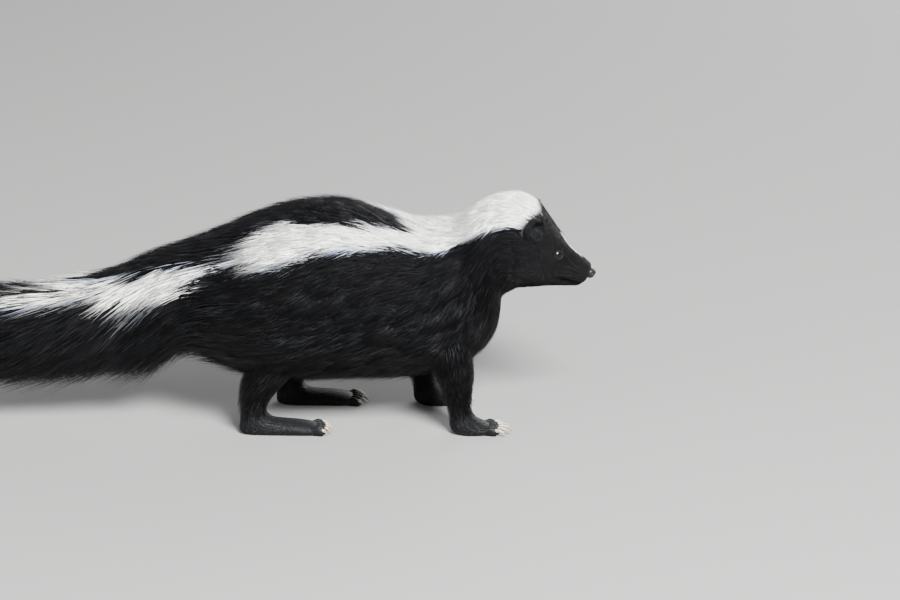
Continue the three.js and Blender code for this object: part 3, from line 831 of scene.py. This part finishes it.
def tuft_points(middles, outs, width, flat):
    """Points of three-sided tapered tufts along rows of places."""
    rings = middles.shape[1] - 1
    rounds = unit(np.cross(unit(np.gradient(middles, axis=1)), outs))
    spread = WIDTHS[rings + 1][None, :, None] * width[:, None, None] / 2
    left = middles[:, :-1] - rounds[:, :-1] * spread
    right = middles[:, :-1] + rounds[:, :-1] * spread
    under = middles[:, :-1] - outs[:, :-1] * spread * flat
    ringed = np.stack([left, right, under], axis=2).reshape(len(middles), 3 * rings, 3)
    return np.concatenate([ringed, middles[:, -1:]], axis=1)


def coat_object(name, points, colours, roots):
    """A piece of the coat from its tufts' points, each with a small patch of the OFBake map."""
    count, each = points.shape[:2]
    face_corners, face_sizes, places = tuft_faces((each - 1) // 3)
    mesh = bpy.data.meshes.new(name)
    mesh.vertices.add(each * count)
    fill(mesh.vertices, "co", points * MM)
    corners = face_corners[None] + each * np.arange(count)[:, None]
    sizes = np.tile(face_sizes, count)
    mesh.loops.add(corners.size)
    fill(mesh.loops, "vertex_index", corners, np.int32)
    mesh.polygons.add(len(sizes))
    fill(mesh.polygons, "loop_start", running(sizes)[:-1], np.int32)
    shade_smooth(mesh)
    mesh.update(calc_edges=True)
    store_colours(mesh, colours.reshape(-1, 3))
    layer = mesh.uv_layers.new(name="OFBake")
    fill(layer.data, "uv", roots[:, None, :] + ATLAS_PATCH * places[None])
    made = bpy.data.objects.new(name, mesh)
    bpy.context.scene.collection.objects.link(made)
    coat_pieces.append(made)


def coat_objects(name, points, colours, roots):
    """The tufts in as many pieces as keep each under 200,000 triangles, in the order given."""
    most = MOST_TRIANGLES // (2 * points.shape[1] - 4)
    pieces = math.ceil(len(points) / most)
    for k, part in enumerate(np.array_split(np.arange(len(points)), pieces)):
        coat_object(f"{name}_{k + 1}", points[part], colours[part], roots[part])


def tuft_colours(white, edge_shade, each, seed, lit=None, shade=None):
    """Colours of the points of each tuft: black or white, with painted bluish shade on the white near the
    markings' edges, darker at the root.

    Where given, lit says how white each ring of a white tuft is, and shade how dark each black tuft is.
    """
    draw = np.random.default_rng(seed)
    count = len(white)
    shade = np.ones(count) if shade is None else shade
    tone = draw.uniform(0.65, 1.5, count)[:, None]
    brown = draw.uniform(0, 1, count)[:, None] ** 3
    dark = BLACK * tone * shade[:, None] + BROWNISH * brown
    light = WHITE * draw.uniform(0.86, 1.04, count)[:, None]
    # Painted bluish shade on white tufts near the markings' edges, more on some tufts than on others
    blue_shade = (edge_shade * draw.uniform(0, 1, count))[:, None]
    light = light * (1 - blue_shade) + BLUISH_SHADE * blue_shade
    rings = np.arange(each) // 3
    ramp = 1 - 0.4 * (1 - smooth(rings / rings[-1], 0, 0.4))
    whole = np.ones((count, rings[-1] + 1)) if lit is None else lit
    share = (white[:, None] * whole)[:, rings, None]
    base = light[:, None] * share + dark[:, None] * (1 - share)
    return np.clip(base * ramp[None, :, None], 0, 1)


def clear_of_head_parts(middles):
    """True for tufts that keep off the nose pad and the ears."""
    away = (middles - head_place(NOSE_PAD["back"], NOSE_PAD["up"])) @ np.stack(HEAD_AXES, 1)
    away = away / (np.array(NOSE_PAD["sizes"]) / 2 + 0.1)
    clear = length_of(away[:, 1:]).min(axis=1) > 1
    for hand in (-1, 1):
        away = (middles - ear_middle(hand)) @ np.stack(ear_axes(hand), 1) / EAR_ROOM
        clear &= length_of(away).min(axis=1) > 1
    return clear


TAIL_BRUSH = 16
EYES_END = 60


def run_past_end(along, angle, level):
    """Places in the coat and the directions out of it; past the body's end they draw together."""
    end = skunk.length - 1
    places, _, _, outs = skunk.frame(np.minimum(along, end), angle, level)
    top, bottom, _, _ = skunk.section(np.array([end - 25, end]))
    middles = (top + bottom) / 2
    past = np.maximum(along - end, 0)[..., None]
    axis = middles[1] + past * unit(middles[1] - middles[0])
    gather = 1 - 0.45 * smooth(past, 0, TAIL_BRUSH * 1.5)
    return np.where(past > 0, axis + (places - middles[1]) * gather, places), outs


def coat_levels(draw, along, angle, fine, lock_tip):
    """The levels of each tuft's root and tip; the tips are looser on the belly and the tail."""
    count = len(along)
    thick = np.interp(along, skunk.along, skunk.rows[:, 7])
    low = skin_level(along) - 0.06 - 0.25 / thick
    tip = np.where(fine, draw.uniform(1.0, 1.09, count), draw.uniform(0.72, 1.0, count) + lock_tip)
    tip = np.maximum(tip, skin_level(along) + draw.uniform(0.45, 0.9, count) / thick)
    loose = smooth(along, 130, 180) * smooth(np.abs(angle), 1.9, 2.6) * (1 - 0.7 * smooth(along, 360, 400))
    tip = tip + draw.uniform(0, 1, count) ** 2 * (0.45 * loose + 0.1 * smooth(along, 380, 420))
    crest = 0.2 * smooth(along, 430, 510) * (1 - smooth(along, 560, 640))
    return low, tip + crest * (1 - smooth(np.abs(angle), 0.3, 1.3))


def marked(draw, along, seen_along, seen_angle, shift, streak):
    """Which tufts are white, by where they show and by their lock, and how much painted bluish shade they
    take near an edge.
    """
    ragged = edge(along, [(0, 0.15), (60, 0.3), (110, 1), (300, 1.6), (420, 2.4), (670, 2.6)])
    share = white_share(seen_along + shift[:, 0] * 5.0 * ragged,
                        seen_angle + np.radians(shift[:, 1] * 2.0 * ragged), soft=3.0)
    dark_streak = (seen_along > 430) & (streak < 0.04 + 0.32 * smooth(seen_along, 430, 560))
    white = (share > draw.uniform(0.3, 0.7, len(along))) & ~dark_streak
    # The second value weights the painted bluish shade: most at a marking's edge, none deep inside it
    return white, 1 - smooth(white_share(seen_along, seen_angle, soft=9.0), 0.45, 0.95)


def body_coat(name, tufts, locks, start, end, seed, steps=LONG, density=np.ones_like):
    """Tufts over a length of the body, drawn together in locks."""
    draw = np.random.default_rng(seed)
    count = int(tufts * QUICK)
    along, angle = scattered(skunk, count, density, start, end, seed)
    lock_along, lock_angle = scattered(skunk, locks, density, start, end, seed + 1)
    lock_size = draw.uniform(0.82, 1.14, locks)
    lock_bend = draw.normal(0, math.radians(5), locks)
    lock_shift = draw.normal(0, 1, (locks, 2))
    lock_tip = draw.uniform(-0.07, 0.03, locks)
    tree = tree_of(skunk.point(lock_along, lock_angle, 0.5))
    near = np.array([tree.find(point)[1] for point in skunk.point(along, angle, 0.5)])
    grow = coat_length(along) * draw.uniform(0.72, 1.1, count) * lock_size[near]
    fine = draw.random(count) < 0.07
    grow = np.where(fine, grow * 1.15, grow)
    room = skunk.length + TAIL_BRUSH - along
    grow = np.minimum(grow, room * (1 - 0.5 * draw.uniform(0, 1, count) ** 1.5))
    calm = smooth(along, 40, 130)
    bend = lie(along, angle) + lock_bend[near] * calm + draw.normal(0, math.radians(2.2), count) * calm
    apart = (lock_angle[near] - angle + math.pi) % (2 * math.pi) - math.pi
    back = lock_along[near] - along
    low, tip = coat_levels(draw, along, angle, fine, lock_tip[near])
    pull = edge(along, [(0, 0), (60, 0.15), (120, 0.45), (250, 0.55), (420, 0.6), (670, 0.6)])
    pull = pull[:, None] * steps**1.4
    at_angle = angle[:, None] + bend[:, None] * steps**1.3 + apart[:, None] * pull
    at_level = low[:, None] + (tip - low)[:, None] * steps**0.62
    for _ in range(3 if start < EYES_END else 1):
        at_along = np.maximum(along[:, None] + grow[:, None] * steps + back[:, None] * pull, 0.5)
        middles, outs = run_past_end(at_along, at_angle, at_level)
        middles, off_eyes = over_eyes(middles)
        off_eyes &= over_eyes((middles[:, 1:] + middles[:, :-1]) / 2)[1]
        grow = np.where(off_eyes, grow, grow * 0.6)
    width = edge(along, [
        (0, 0.42), (40, 0.5), (70, 0.54), (130, 0.72), (290, 0.8), (310, 1), (420, 1.1), (670, 1),
    ])
    width = width * draw.uniform(0.7, 1.25, count) * np.where(fine, 0.6, 1.0)
    points = tuft_points(middles, outs, width, 0.7)
    seen = SEEN_AT - 0.13 * smooth(along, 320, 380)
    streak = draw.random(locks)[near]
    seen_along, seen_angle = along + seen * grow, angle + bend * seen**1.3
    white, edge_shade = marked(draw, along, seen_along, seen_angle, lock_shift[near], streak)
    lit = white_share(at_along + 0.2 * grow[:, None], at_angle, soft=3.0)
    lit[:, -1] = 1
    shade = 1 - 0.35 * (1 - smooth(along, 40, 90))
    colours = tuft_colours(white, edge_shade, points.shape[1], seed + 2, lit, shade)
    clear = off_eyes & clear_of_head_parts(middles) & (points[..., 2].min(axis=1) > 1)
    atlas = np.stack([along / skunk.length * 0.99, (angle / (2 * math.pi) + 0.5) * 0.78], -1)
    order = np.flatnonzero(clear)
    order = order[np.argsort(along[order], kind="stable")]
    coat_objects(name, points[order], colours[order], atlas[order])


def black_tufts(points, seed, atlas):
    """Points, colours and map places of black tufts, less those that would touch the floor."""
    none = np.zeros(len(points))
    colours = tuft_colours(none > 0, none, points.shape[1], seed)
    clear = points[..., 2].min(axis=1) > TUFT_HEIGHT
    return points[clear], colours[clear], atlas[clear]


def leg_coat(name, row):
    """Short tufts down a leg and over its foot."""
    seed = 501 + 10 * row
    draw = np.random.default_rng(seed)
    count = int(LEG_TUFTS * QUICK)
    body = legs[name]
    ankle = ankle_of(body)
    along, angle = scattered(body, count, lambda at: 1 + 0.8 * smooth(at, ankle - 5, ankle + 15),
                             4, body.length - 4, seed)
    long = edge(along, [
        (0, 34), (0.5 * ankle, 25), (ankle - 12, 13), (ankle, 8), (ankle + 20, 4.5), (body.length, 3.5),
    ])
    grow = np.minimum(long * draw.uniform(0.7, 1.15, count), body.length - 0.5 - along)
    low = leg_level(along, ankle) - 0.05
    behind = smooth(np.abs(angle), 1.8, 2.9) * (1 - smooth(along, ankle - 20, ankle))
    tip = draw.uniform(0.85, 1.08, count) + draw.uniform(0, 0.5, count) * behind
    at_along = along[:, None] + grow[:, None] * SHORT
    slant = draw.normal(0, 0.06, count) + 0.4 * np.sin(angle) * (1 - smooth(along, 10, 70))
    at_angle = angle[:, None] + slant[:, None] * SHORT
    at_level = low[:, None] + (tip - low)[:, None] * SHORT**0.7
    middles, _, _, outs = body.frame(at_along, at_angle, at_level)
    width = edge(along, [(0, 0.95), (ankle, 0.7), (body.length, 0.5)]) * draw.uniform(0.7, 1.2, count)
    across = 0.8 + 0.05 * row + (angle / (2 * math.pi) + 0.5) * 0.045
    atlas = np.stack([along / body.length * 0.99, across], -1)
    return black_tufts(tuft_points(middles, outs, width, 0.6), seed + 2, atlas)


def toe_coat(name, row):
    """The shortest tufts, over the tops and sides of the toes."""
    seed = 551 + 10 * row
    draw = np.random.default_rng(seed)
    count = int(TOE_TUFTS * QUICK)
    form = spline(TOE_FORM, FORM_GAP)
    parts = []
    for start, ahead, size, reach, _ in toe_places(name):
        across = np.cross(FLOOR_UP, ahead)
        along = draw.uniform(-0.42, 1.08, count)
        turn = draw.uniform(-0.25, math.pi + 0.25, count)
        at = along[:, None] + draw.uniform(2.4, 3.8, count)[:, None] / (size * reach) * SHORT
        high, wide, thick = (np.interp(at, form[:, 0], form[:, k]) for k in (1, 2, 3))
        lift = np.linspace(-0.15, 0.55, 3)
        turn_at = turn[:, None] + draw.normal(0, 0.08, count)[:, None] * SHORT
        out = np.cos(turn_at)[..., None] * across + np.sin(turn_at)[..., None] * FLOOR_UP
        middles = start + (np.minimum(at, 1.24) * size * reach)[..., None] * ahead
        middles = middles + (np.cos(turn_at) * (wide + lift))[..., None] * across
        middles[..., 2] += high + np.sin(turn_at) * (thick + lift)
        parts.append(tuft_points(middles, out, draw.uniform(0.3, 0.48, count), 0.6))
    points = np.concatenate(parts)
    total = len(points)
    atlas = np.stack([draw.uniform(0.95, 0.985, total), 0.8 + 0.05 * row + draw.uniform(0, 0.04, total)], -1)
    return black_tufts(points, seed + 2, atlas)


LEG_TUFTS = 3000
TOE_TUFTS = 80
EAR_TUFTS = 800
EAR_LINING_TUFTS = 420
EAR_HALF = 11
# The run of the hair on from the ear's back: depth, and share of its size
EAR_FRINGE = [(2.6, 0.96), (3.6, 0.97), (5.2, 0.98), (6.6, 0.95)]


def ear_run(rows):
    """Distances along the profile of an ear."""
    return running(np.hypot(np.diff(rows[:, 0]), np.diff(rows[:, 1]) * EAR_HALF))


def ear_back_hair(draw, hand, count):
    """Short hair up the back of an ear and past its rim, with the directions out of it."""
    back = np.array(EAR_BACK + EAR_FRINGE)
    run = ear_run(back)
    turn = draw.uniform(-math.pi, math.pi, count)
    start = run[len(EAR_BACK) - 1] * np.sqrt(draw.uniform(0.01, 1.0, count))
    reach = draw.uniform(4.0, 6.0, count) * (0.75 + 0.25 * np.sin(turn))
    at = np.minimum(start[:, None] + reach[:, None] * SHORT, run[-1] - draw.uniform(0, 2.2, count)[:, None])
    depth, share = np.interp(at, run, back[:, 0]), np.interp(at, run, back[:, 1])
    lift = np.linspace(-0.02, 0.07, 3)
    turn_at = turn[:, None] + 0.05 * draw.normal(size=count)[:, None] * SHORT
    middles = ear_place(hand, depth, share + lift, turn_at)
    return middles, unit(middles - ear_place(hand, depth - 1.0, share * 0.4, turn[:, None]))


def ear_lining(draw, hand, count):
    """Hair on the inner wall of an ear and on the head in front of it."""
    ahead, _, up = axes = ear_axes(hand)
    cup = np.array(EAR_RIM + EAR_CUP)
    run = ear_run(cup)
    at = draw.uniform(0, 1, count) ** 1.2 * run[-1] * 0.9
    wall = ear_place(hand, np.interp(at, run, cup[:, 0]), np.interp(at, run, cup[:, 1]),
                     draw.uniform(-math.pi, math.pi, count))
    tries = 6000
    ground = skunk.point(draw.uniform(45, 88, tries), hand * np.radians(draw.uniform(28, 80, tries)), 0.8)
    away = (ground - ear_middle(hand)) @ np.stack(axes, 1)
    ground = ground[(np.hypot(away[:, 1] / 7.0, away[:, 2] / 9.6) < 1) & (np.abs(away[:, 0]) < 5)]
    root = np.concatenate([wall, ground])
    inward = unit(ear_middle(hand) + 1.5 * ahead - root)
    way = unit(0.5 * inward + 0.85 * up + 0.3 * ahead + draw.normal(0, 0.1, (len(root), 3)))
    reach = draw.uniform(3.0, 5.5, len(root))[:, None, None] * (SHORT[None, :, None] - 0.08)
    middles = root[:, None] + way[:, None] * reach + ahead * 0.5 * SHORT[None, :, None]
    return middles, np.broadcast_to(ahead, middles.shape)


def ear_coat(hand, seed):
    """Short tufts up the back of an ear and past its rim, and a sparser lining inside."""
    draw = np.random.default_rng(seed)
    _, aside, up = ear_axes(hand)
    back, back_out = ear_back_hair(draw, hand, EAR_TUFTS)
    lining, lining_out = ear_lining(draw, hand, EAR_LINING_TUFTS)
    points = np.concatenate([
        tuft_points(back, back_out, draw.uniform(0.35, 0.6, len(back)), 0.7),
        tuft_points(lining, lining_out, draw.uniform(0.22, 0.38, len(lining)), 0.7),
    ])
    spread = 0.02 * (back[:, 0] - back[:, 0].mean(axis=0))
    atlas = np.stack([0.115 + spread @ aside / 10, 0.39 + hand * 0.1 + spread @ up / 10], -1)
    return black_tufts(points, seed + 2, atlas[np.arange(len(points)) % len(back)])


def face_density(along):
    return 1.5 - 0.5 * smooth(along, 5, 30) + 5 * (1 - smooth(along, 0, 3.5))


body_coat("coat_face", 15500, locks=1200, start=0.05, end=62, seed=101, steps=SHORT, density=face_density)
body_coat("coat_cap", 14000, locks=900, start=57, end=100, seed=151, steps=SHORT)
body_coat("coat_body", 54000, locks=1700, start=88, end=300, seed=201, steps=SHORT)
body_coat("coat_rump", 12000, locks=420, start=285, end=380, seed=301)
body_coat("coat_tail", 18000, locks=520, start=360, end=658, seed=401)
short_parts = [part(name, row) for part in (leg_coat, toe_coat) for row, name in enumerate(FEET)]
short_parts += [ear_coat(-1, 601), ear_coat(1, 611)]
coat_objects("coat_legs_ears", *(np.concatenate(part) for part in zip(*short_parts)))


# Eyes, nose, claws and whiskers


def ball_rings(middle, axes, sizes, rows, sides, square=1.0):
    """Rings of an ellipsoid from pole to pole along its first axis; square below 1 fills its profile out."""
    rings = []
    for share in np.linspace(0.5 / rows, 1 - 0.5 / rows, rows):
        out = math.copysign(abs(math.cos(math.pi * share)) ** square, 0.5 - share) * sizes[0] / 2
        wide = math.sin(math.pi * share) ** square
        half_width, half_height = wide * sizes[1] / 2, wide * sizes[2] / 2
        rings.append(oval(middle + out * axes[0], axes[1], half_width, axes[2], half_height, sides))
    return rings


def eyeball(side, hand):
    """An eyeball with a dark brown iris round its pupil."""
    middle, axes = eye_frame(hand)
    ball = closed_rings(ball_rings(middle, axes, [2 * EYE["radius"]] * 3, 40, 56))
    made = joined(f"eyeball_{side}", [ball])
    away = (points_of(made) - middle) / EYE["radius"]
    from_axis = np.hypot(away @ axes[1], away @ axes[2])
    iris = smooth(from_axis, 0.42, 0.52) * (1 - smooth(from_axis, 0.72, 0.85))
    store_colours(made.data, EYE_DARK + iris[:, None] * IRIS)
    return made


def nostrils(points):
    """How deep each point lies in a nostril, which curls out and back and narrows."""
    depth = np.zeros(len(points))
    for hand in (-1, 1):
        start = head_place(0.0, -0.9, hand * 2.9)
        way = head_place(2.8, 0.5, hand * 6.9) - start
        share = np.clip((points - start) @ way / (way @ way), 0, 1)
        from_line = length_of(points - start - share[:, None] * way)
        reach = 1.45 - 0.75 * share
        depth = np.maximum(depth, (2.9 - 1.9 * share) * np.exp(-((from_line / reach) ** 4)))
    return depth


def nose_pad():
    """The bare pad, with its nostrils, the groove below and the soft brows over them."""
    middle = head_place(NOSE_PAD["back"], NOSE_PAD["up"])
    points, faces = closed_rings(ball_rings(middle, HEAD_AXES, NOSE_PAD["sizes"], 72, 96, square=0.82))
    axes = np.stack(HEAD_AXES)
    out = unit((points - middle) @ axes.T / np.square(NOSE_PAD["sizes"]) @ axes)
    high = (points - NOSE_TIP) @ HEAD_UP
    groove = 0.7 * bell(points[:, 1], 0.45) * smooth(-high, 0.5, 2.5)
    brow = 0.5 * bell(high - 1.8, 1.3) * bell(np.abs(points[:, 1]) - 3.2, 2)
    return joined("nose_pad", [(points + out * (brow - nostrils(points) - groove)[:, None], faces)])


eyes = {side: eyeball(side, hand) for side, hand in (("left", 1), ("right", -1))}
nose = nose_pad()
claws = joined("claws", [
    pointed(CLAW_FORM, start + ahead * size * reach, ahead, size * claw, 12)
    for name in FEET for start, ahead, size, reach, claw in toe_places(name)
])


def whisker(root, way, length, droop, thick):
    """A stiff hair that leaves its pad along way and sags as it thins."""
    side = unit(np.cross(way, HEAD_UP))
    up = np.cross(side, way)
    rings = []
    for share in np.linspace(0, 1, 9):
        middle = root + way * length * share - FLOOR_UP * (droop * share**2)
        radius = thick * (1 - 0.92 * share)
        rings.append(oval(middle, side, radius, up, radius, 5))
    return closed_rings(rings)


def all_whiskers(seed):
    """Rows of whiskers on each side of the muzzle, and three over each eye."""
    draw = np.random.default_rng(seed)
    for hand in (-1, 1):
        for row in range(4):
            for k in range(4):
                along = 9.5 + 3.2 * k + draw.uniform(-0.4, 0.4)
                angle = hand * math.radians(66 + 10.5 * row + draw.uniform(-2, 2))
                root, back, _, out = skunk.frame(along, angle, 0.8)
                way = unit(out + 0.9 * back + 0.12 * HEAD_UP + draw.normal(0, 0.07, 3))
                length = 15 + 3.4 * k + draw.uniform(-2, 3)
                yield whisker(root - out, way, length, 0.1 * length, 0.12)
        for k in range(3):
            root, back, _, out = skunk.frame(33 + 2.0 * k, hand * math.radians(30), 0.8)
            way = unit(out + 0.9 * back + draw.normal(0, 0.08, 3))
            yield whisker(root - out, way, 13 + 2 * k, 1.5, 0.1)


whiskers = joined("whiskers", all_whiskers(17))


# Materials


def new_material(name, roughness, specular=0.5):
    """A material with its nodes, its links and its surface shader."""
    made = bpy.data.materials.new(name)
    made.use_nodes = True
    nodes, links = made.node_tree.nodes, made.node_tree.links
    shader = nodes["Principled BSDF"]
    shader.inputs["Roughness"].default_value = roughness
    shader.inputs["Specular IOR Level"].default_value = specular
    return made, nodes, links, shader


def add_node(nodes, kind, **values):
    """A shader node; a value with a capital goes to its input, any other to the node itself."""
    made = nodes.new("ShaderNode" + kind)
    for name, value in values.items():
        if name[0].isupper():
            made.inputs[name].default_value = value
        else:
            setattr(made, name, value)
    return made


def two_tones(nodes, first, second):
    """A ramp from one colour to another."""
    ramp = add_node(nodes, "ValToRGB")
    for element, colour in zip(ramp.color_ramp.elements, (first, second)):
        element.color = (*colour, 1)
    return ramp


def connect(links, *runs):
    """Links, each from a node's output to another's input."""
    for start, output, end, entry in runs:
        links.new(start.outputs[output], end.inputs[entry])


def coat_colours(nodes, links, shader, grain, output, share):
    """The stored colours of the coat, darkened by a share of a grain."""
    colour = add_node(nodes, "Attribute", attribute_name="coat")
    vary = add_node(nodes, "MixRGB", blend_type="MULTIPLY", Fac=share)
    connect(links, (colour, "Color", vary, "Color1"), (grain, output, vary, "Color2"),
            (vary, "Color", shader, "Base Color"))


def coat_material():
    made, nodes, links, shader = new_material("long_fur", 0.45, 0.11)
    place = add_node(nodes, "TexCoord")
    grain = add_node(nodes, "TexNoise", Scale=160.0)
    connect(links, (place, "Object", grain, "Vector"))
    coat_colours(nodes, links, shader, grain, "Fac", 0.1)
    return made


def skin_material():
    made, nodes, links, shader = new_material("short_fur", 0.6, 0.12)
    place = add_node(nodes, "Attribute", attribute_name="flow")
    stretch = add_node(nodes, "Mapping", Scale=(260, 1500, 800))
    hairs = add_node(nodes, "TexNoise", Scale=1.0, Detail=3.0)
    bump = add_node(nodes, "Bump", Strength=0.6, Distance=0.0005)
    connect(links, (place, "Vector", stretch, "Vector"), (stretch, "Vector", hairs, "Vector"),
            (hairs, "Fac", bump, "Height"), (bump, "Normal", shader, "Normal"))
    coat_colours(nodes, links, shader, hairs, "Color", 0.5)
    return made


def eye_material():
    made, nodes, links, shader = new_material("wet_eye", 0.05, 0.22)
    colour = add_node(nodes, "Attribute", attribute_name="coat")
    connect(links, (colour, "Color", shader, "Base Color"))
    return made


def nose_material():
    made, nodes, links, shader = new_material("moist_nose", 0.3, 0.2)
    place = add_node(nodes, "TexCoord")
    cells = add_node(nodes, "TexVoronoi", Scale=1300.0)
    ramp = two_tones(nodes, (0.009, 0.0075, 0.008), (0.004, 0.0034, 0.0036))
    bump = add_node(nodes, "Bump", Strength=0.35, Distance=0.0002, invert=True)
    connect(links, (place, "Object", cells, "Vector"), (cells, "Distance", ramp, "Fac"),
            (cells, "Distance", bump, "Height"), (ramp, "Color", shader, "Base Color"),
            (bump, "Normal", shader, "Normal"))
    return made


def horn_material(name, dark, light, scale):
    made, nodes, links, shader = new_material(name, 0.38)
    place = add_node(nodes, "TexCoord")
    grain = add_node(nodes, "TexNoise", Scale=scale)
    ramp = two_tones(nodes, dark, light)
    connect(links, (place, "Object", grain, "Vector"), (grain, "Fac", ramp, "Fac"),
            (ramp, "Color", shader, "Base Color"))
    return made


wet = eye_material()
fur = coat_material()
for piece in eyes.values():
    piece.data.materials.append(wet)
for piece in coat_pieces:
    piece.data.materials.append(fur)
skin.data.materials.append(skin_material())
nose.data.materials.append(nose_material())
claws.data.materials.append(horn_material("claw_horn", (0.08, 0.062, 0.046), (0.26, 0.22, 0.165), 420.0))
whiskers.data.materials.append(
    horn_material("whisker_hair", (0.006, 0.006, 0.006), (0.02, 0.019, 0.019), 250.0))

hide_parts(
    "head", "neck", "torso_front", "torso_rear", "tail_base", "tail_middle", "tail_tip",
    "ear_left", "ear_right",
    "front_leg_left", "front_leg_right", "hind_leg_left", "hind_leg_right",
    "front_foot_left", "front_foot_right", "hind_foot_left", "hind_foot_right",
)
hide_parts("nose")
for side, eye in eyes.items():
    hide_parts(f"eye_{side}")
for piece in (skin, nose, claws, whiskers, *eyes.values(), *coat_pieces):
    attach(piece, "root")


# Floor, light and camera


def stage_floor():
    """A wide pale floor under the animal."""
    half = 15000
    corners = [[-half, -half, 0], [half, -half, 0], [half, half, 0], [-half, half, 0]]
    made = make_object("floor", corners, [[0, 1, 2, 3]])
    material, _, _, shader = new_material("pale_floor", 0.9)
    shader.inputs["Base Color"].default_value = (0.135, 0.1335, 0.13, 1)
    made.data.materials.append(material)


LIGHT_TARGET = Vector((0, 0, 0.1))


def turned_to(made, place, target):
    """Puts a lamp or camera in its place and turns it to its target."""
    made.location = place
    made.rotation_euler = (Vector(target) - Vector(place)).to_track_quat("-Z", "Y").to_euler()
    bpy.context.scene.collection.objects.link(made)
    return made


def area_light(name, place, size, power):
    light = bpy.data.lights.new(name, "AREA")
    light.size = size
    light.energy = power
    turned_to(bpy.data.objects.new(name, light), place, LIGHT_TARGET)


stage_floor()
area_light("key_light", (1.0, -2.1, 2.1), size=1.0, power=860)
area_light("fill_light", (-2.2, -1.6, 1.1), size=2.0, power=100)
area_light("far_light", (1.3, 2.2, 1.0), size=1.8, power=110)
world = bpy.data.worlds.new("room")
world.use_nodes = True
background = world.node_tree.nodes["Background"]
background.inputs["Color"].default_value = (0.92, 0.94, 1.0, 1)
background.inputs["Strength"].default_value = 0.6
bpy.context.scene.world = world

ELEVATION = math.radians(19)
CAMERA_FAR = 4.2
FRAME_WIDTH = 0.792
SENSOR = 36.0
aim = Vector((0.1936, 0.0, 0.1038 / math.cos(ELEVATION)))
camera_data = bpy.data.cameras.new("camera")
camera_data.sensor_width = SENSOR
camera_data.lens = SENSOR * CAMERA_FAR / FRAME_WIDTH
camera_data.clip_end = 100
seat = aim + CAMERA_FAR * Vector((0, -math.cos(ELEVATION), math.sin(ELEVATION)))
bpy.context.scene.camera = turned_to(bpy.data.objects.new("camera", camera_data), seat, aim)
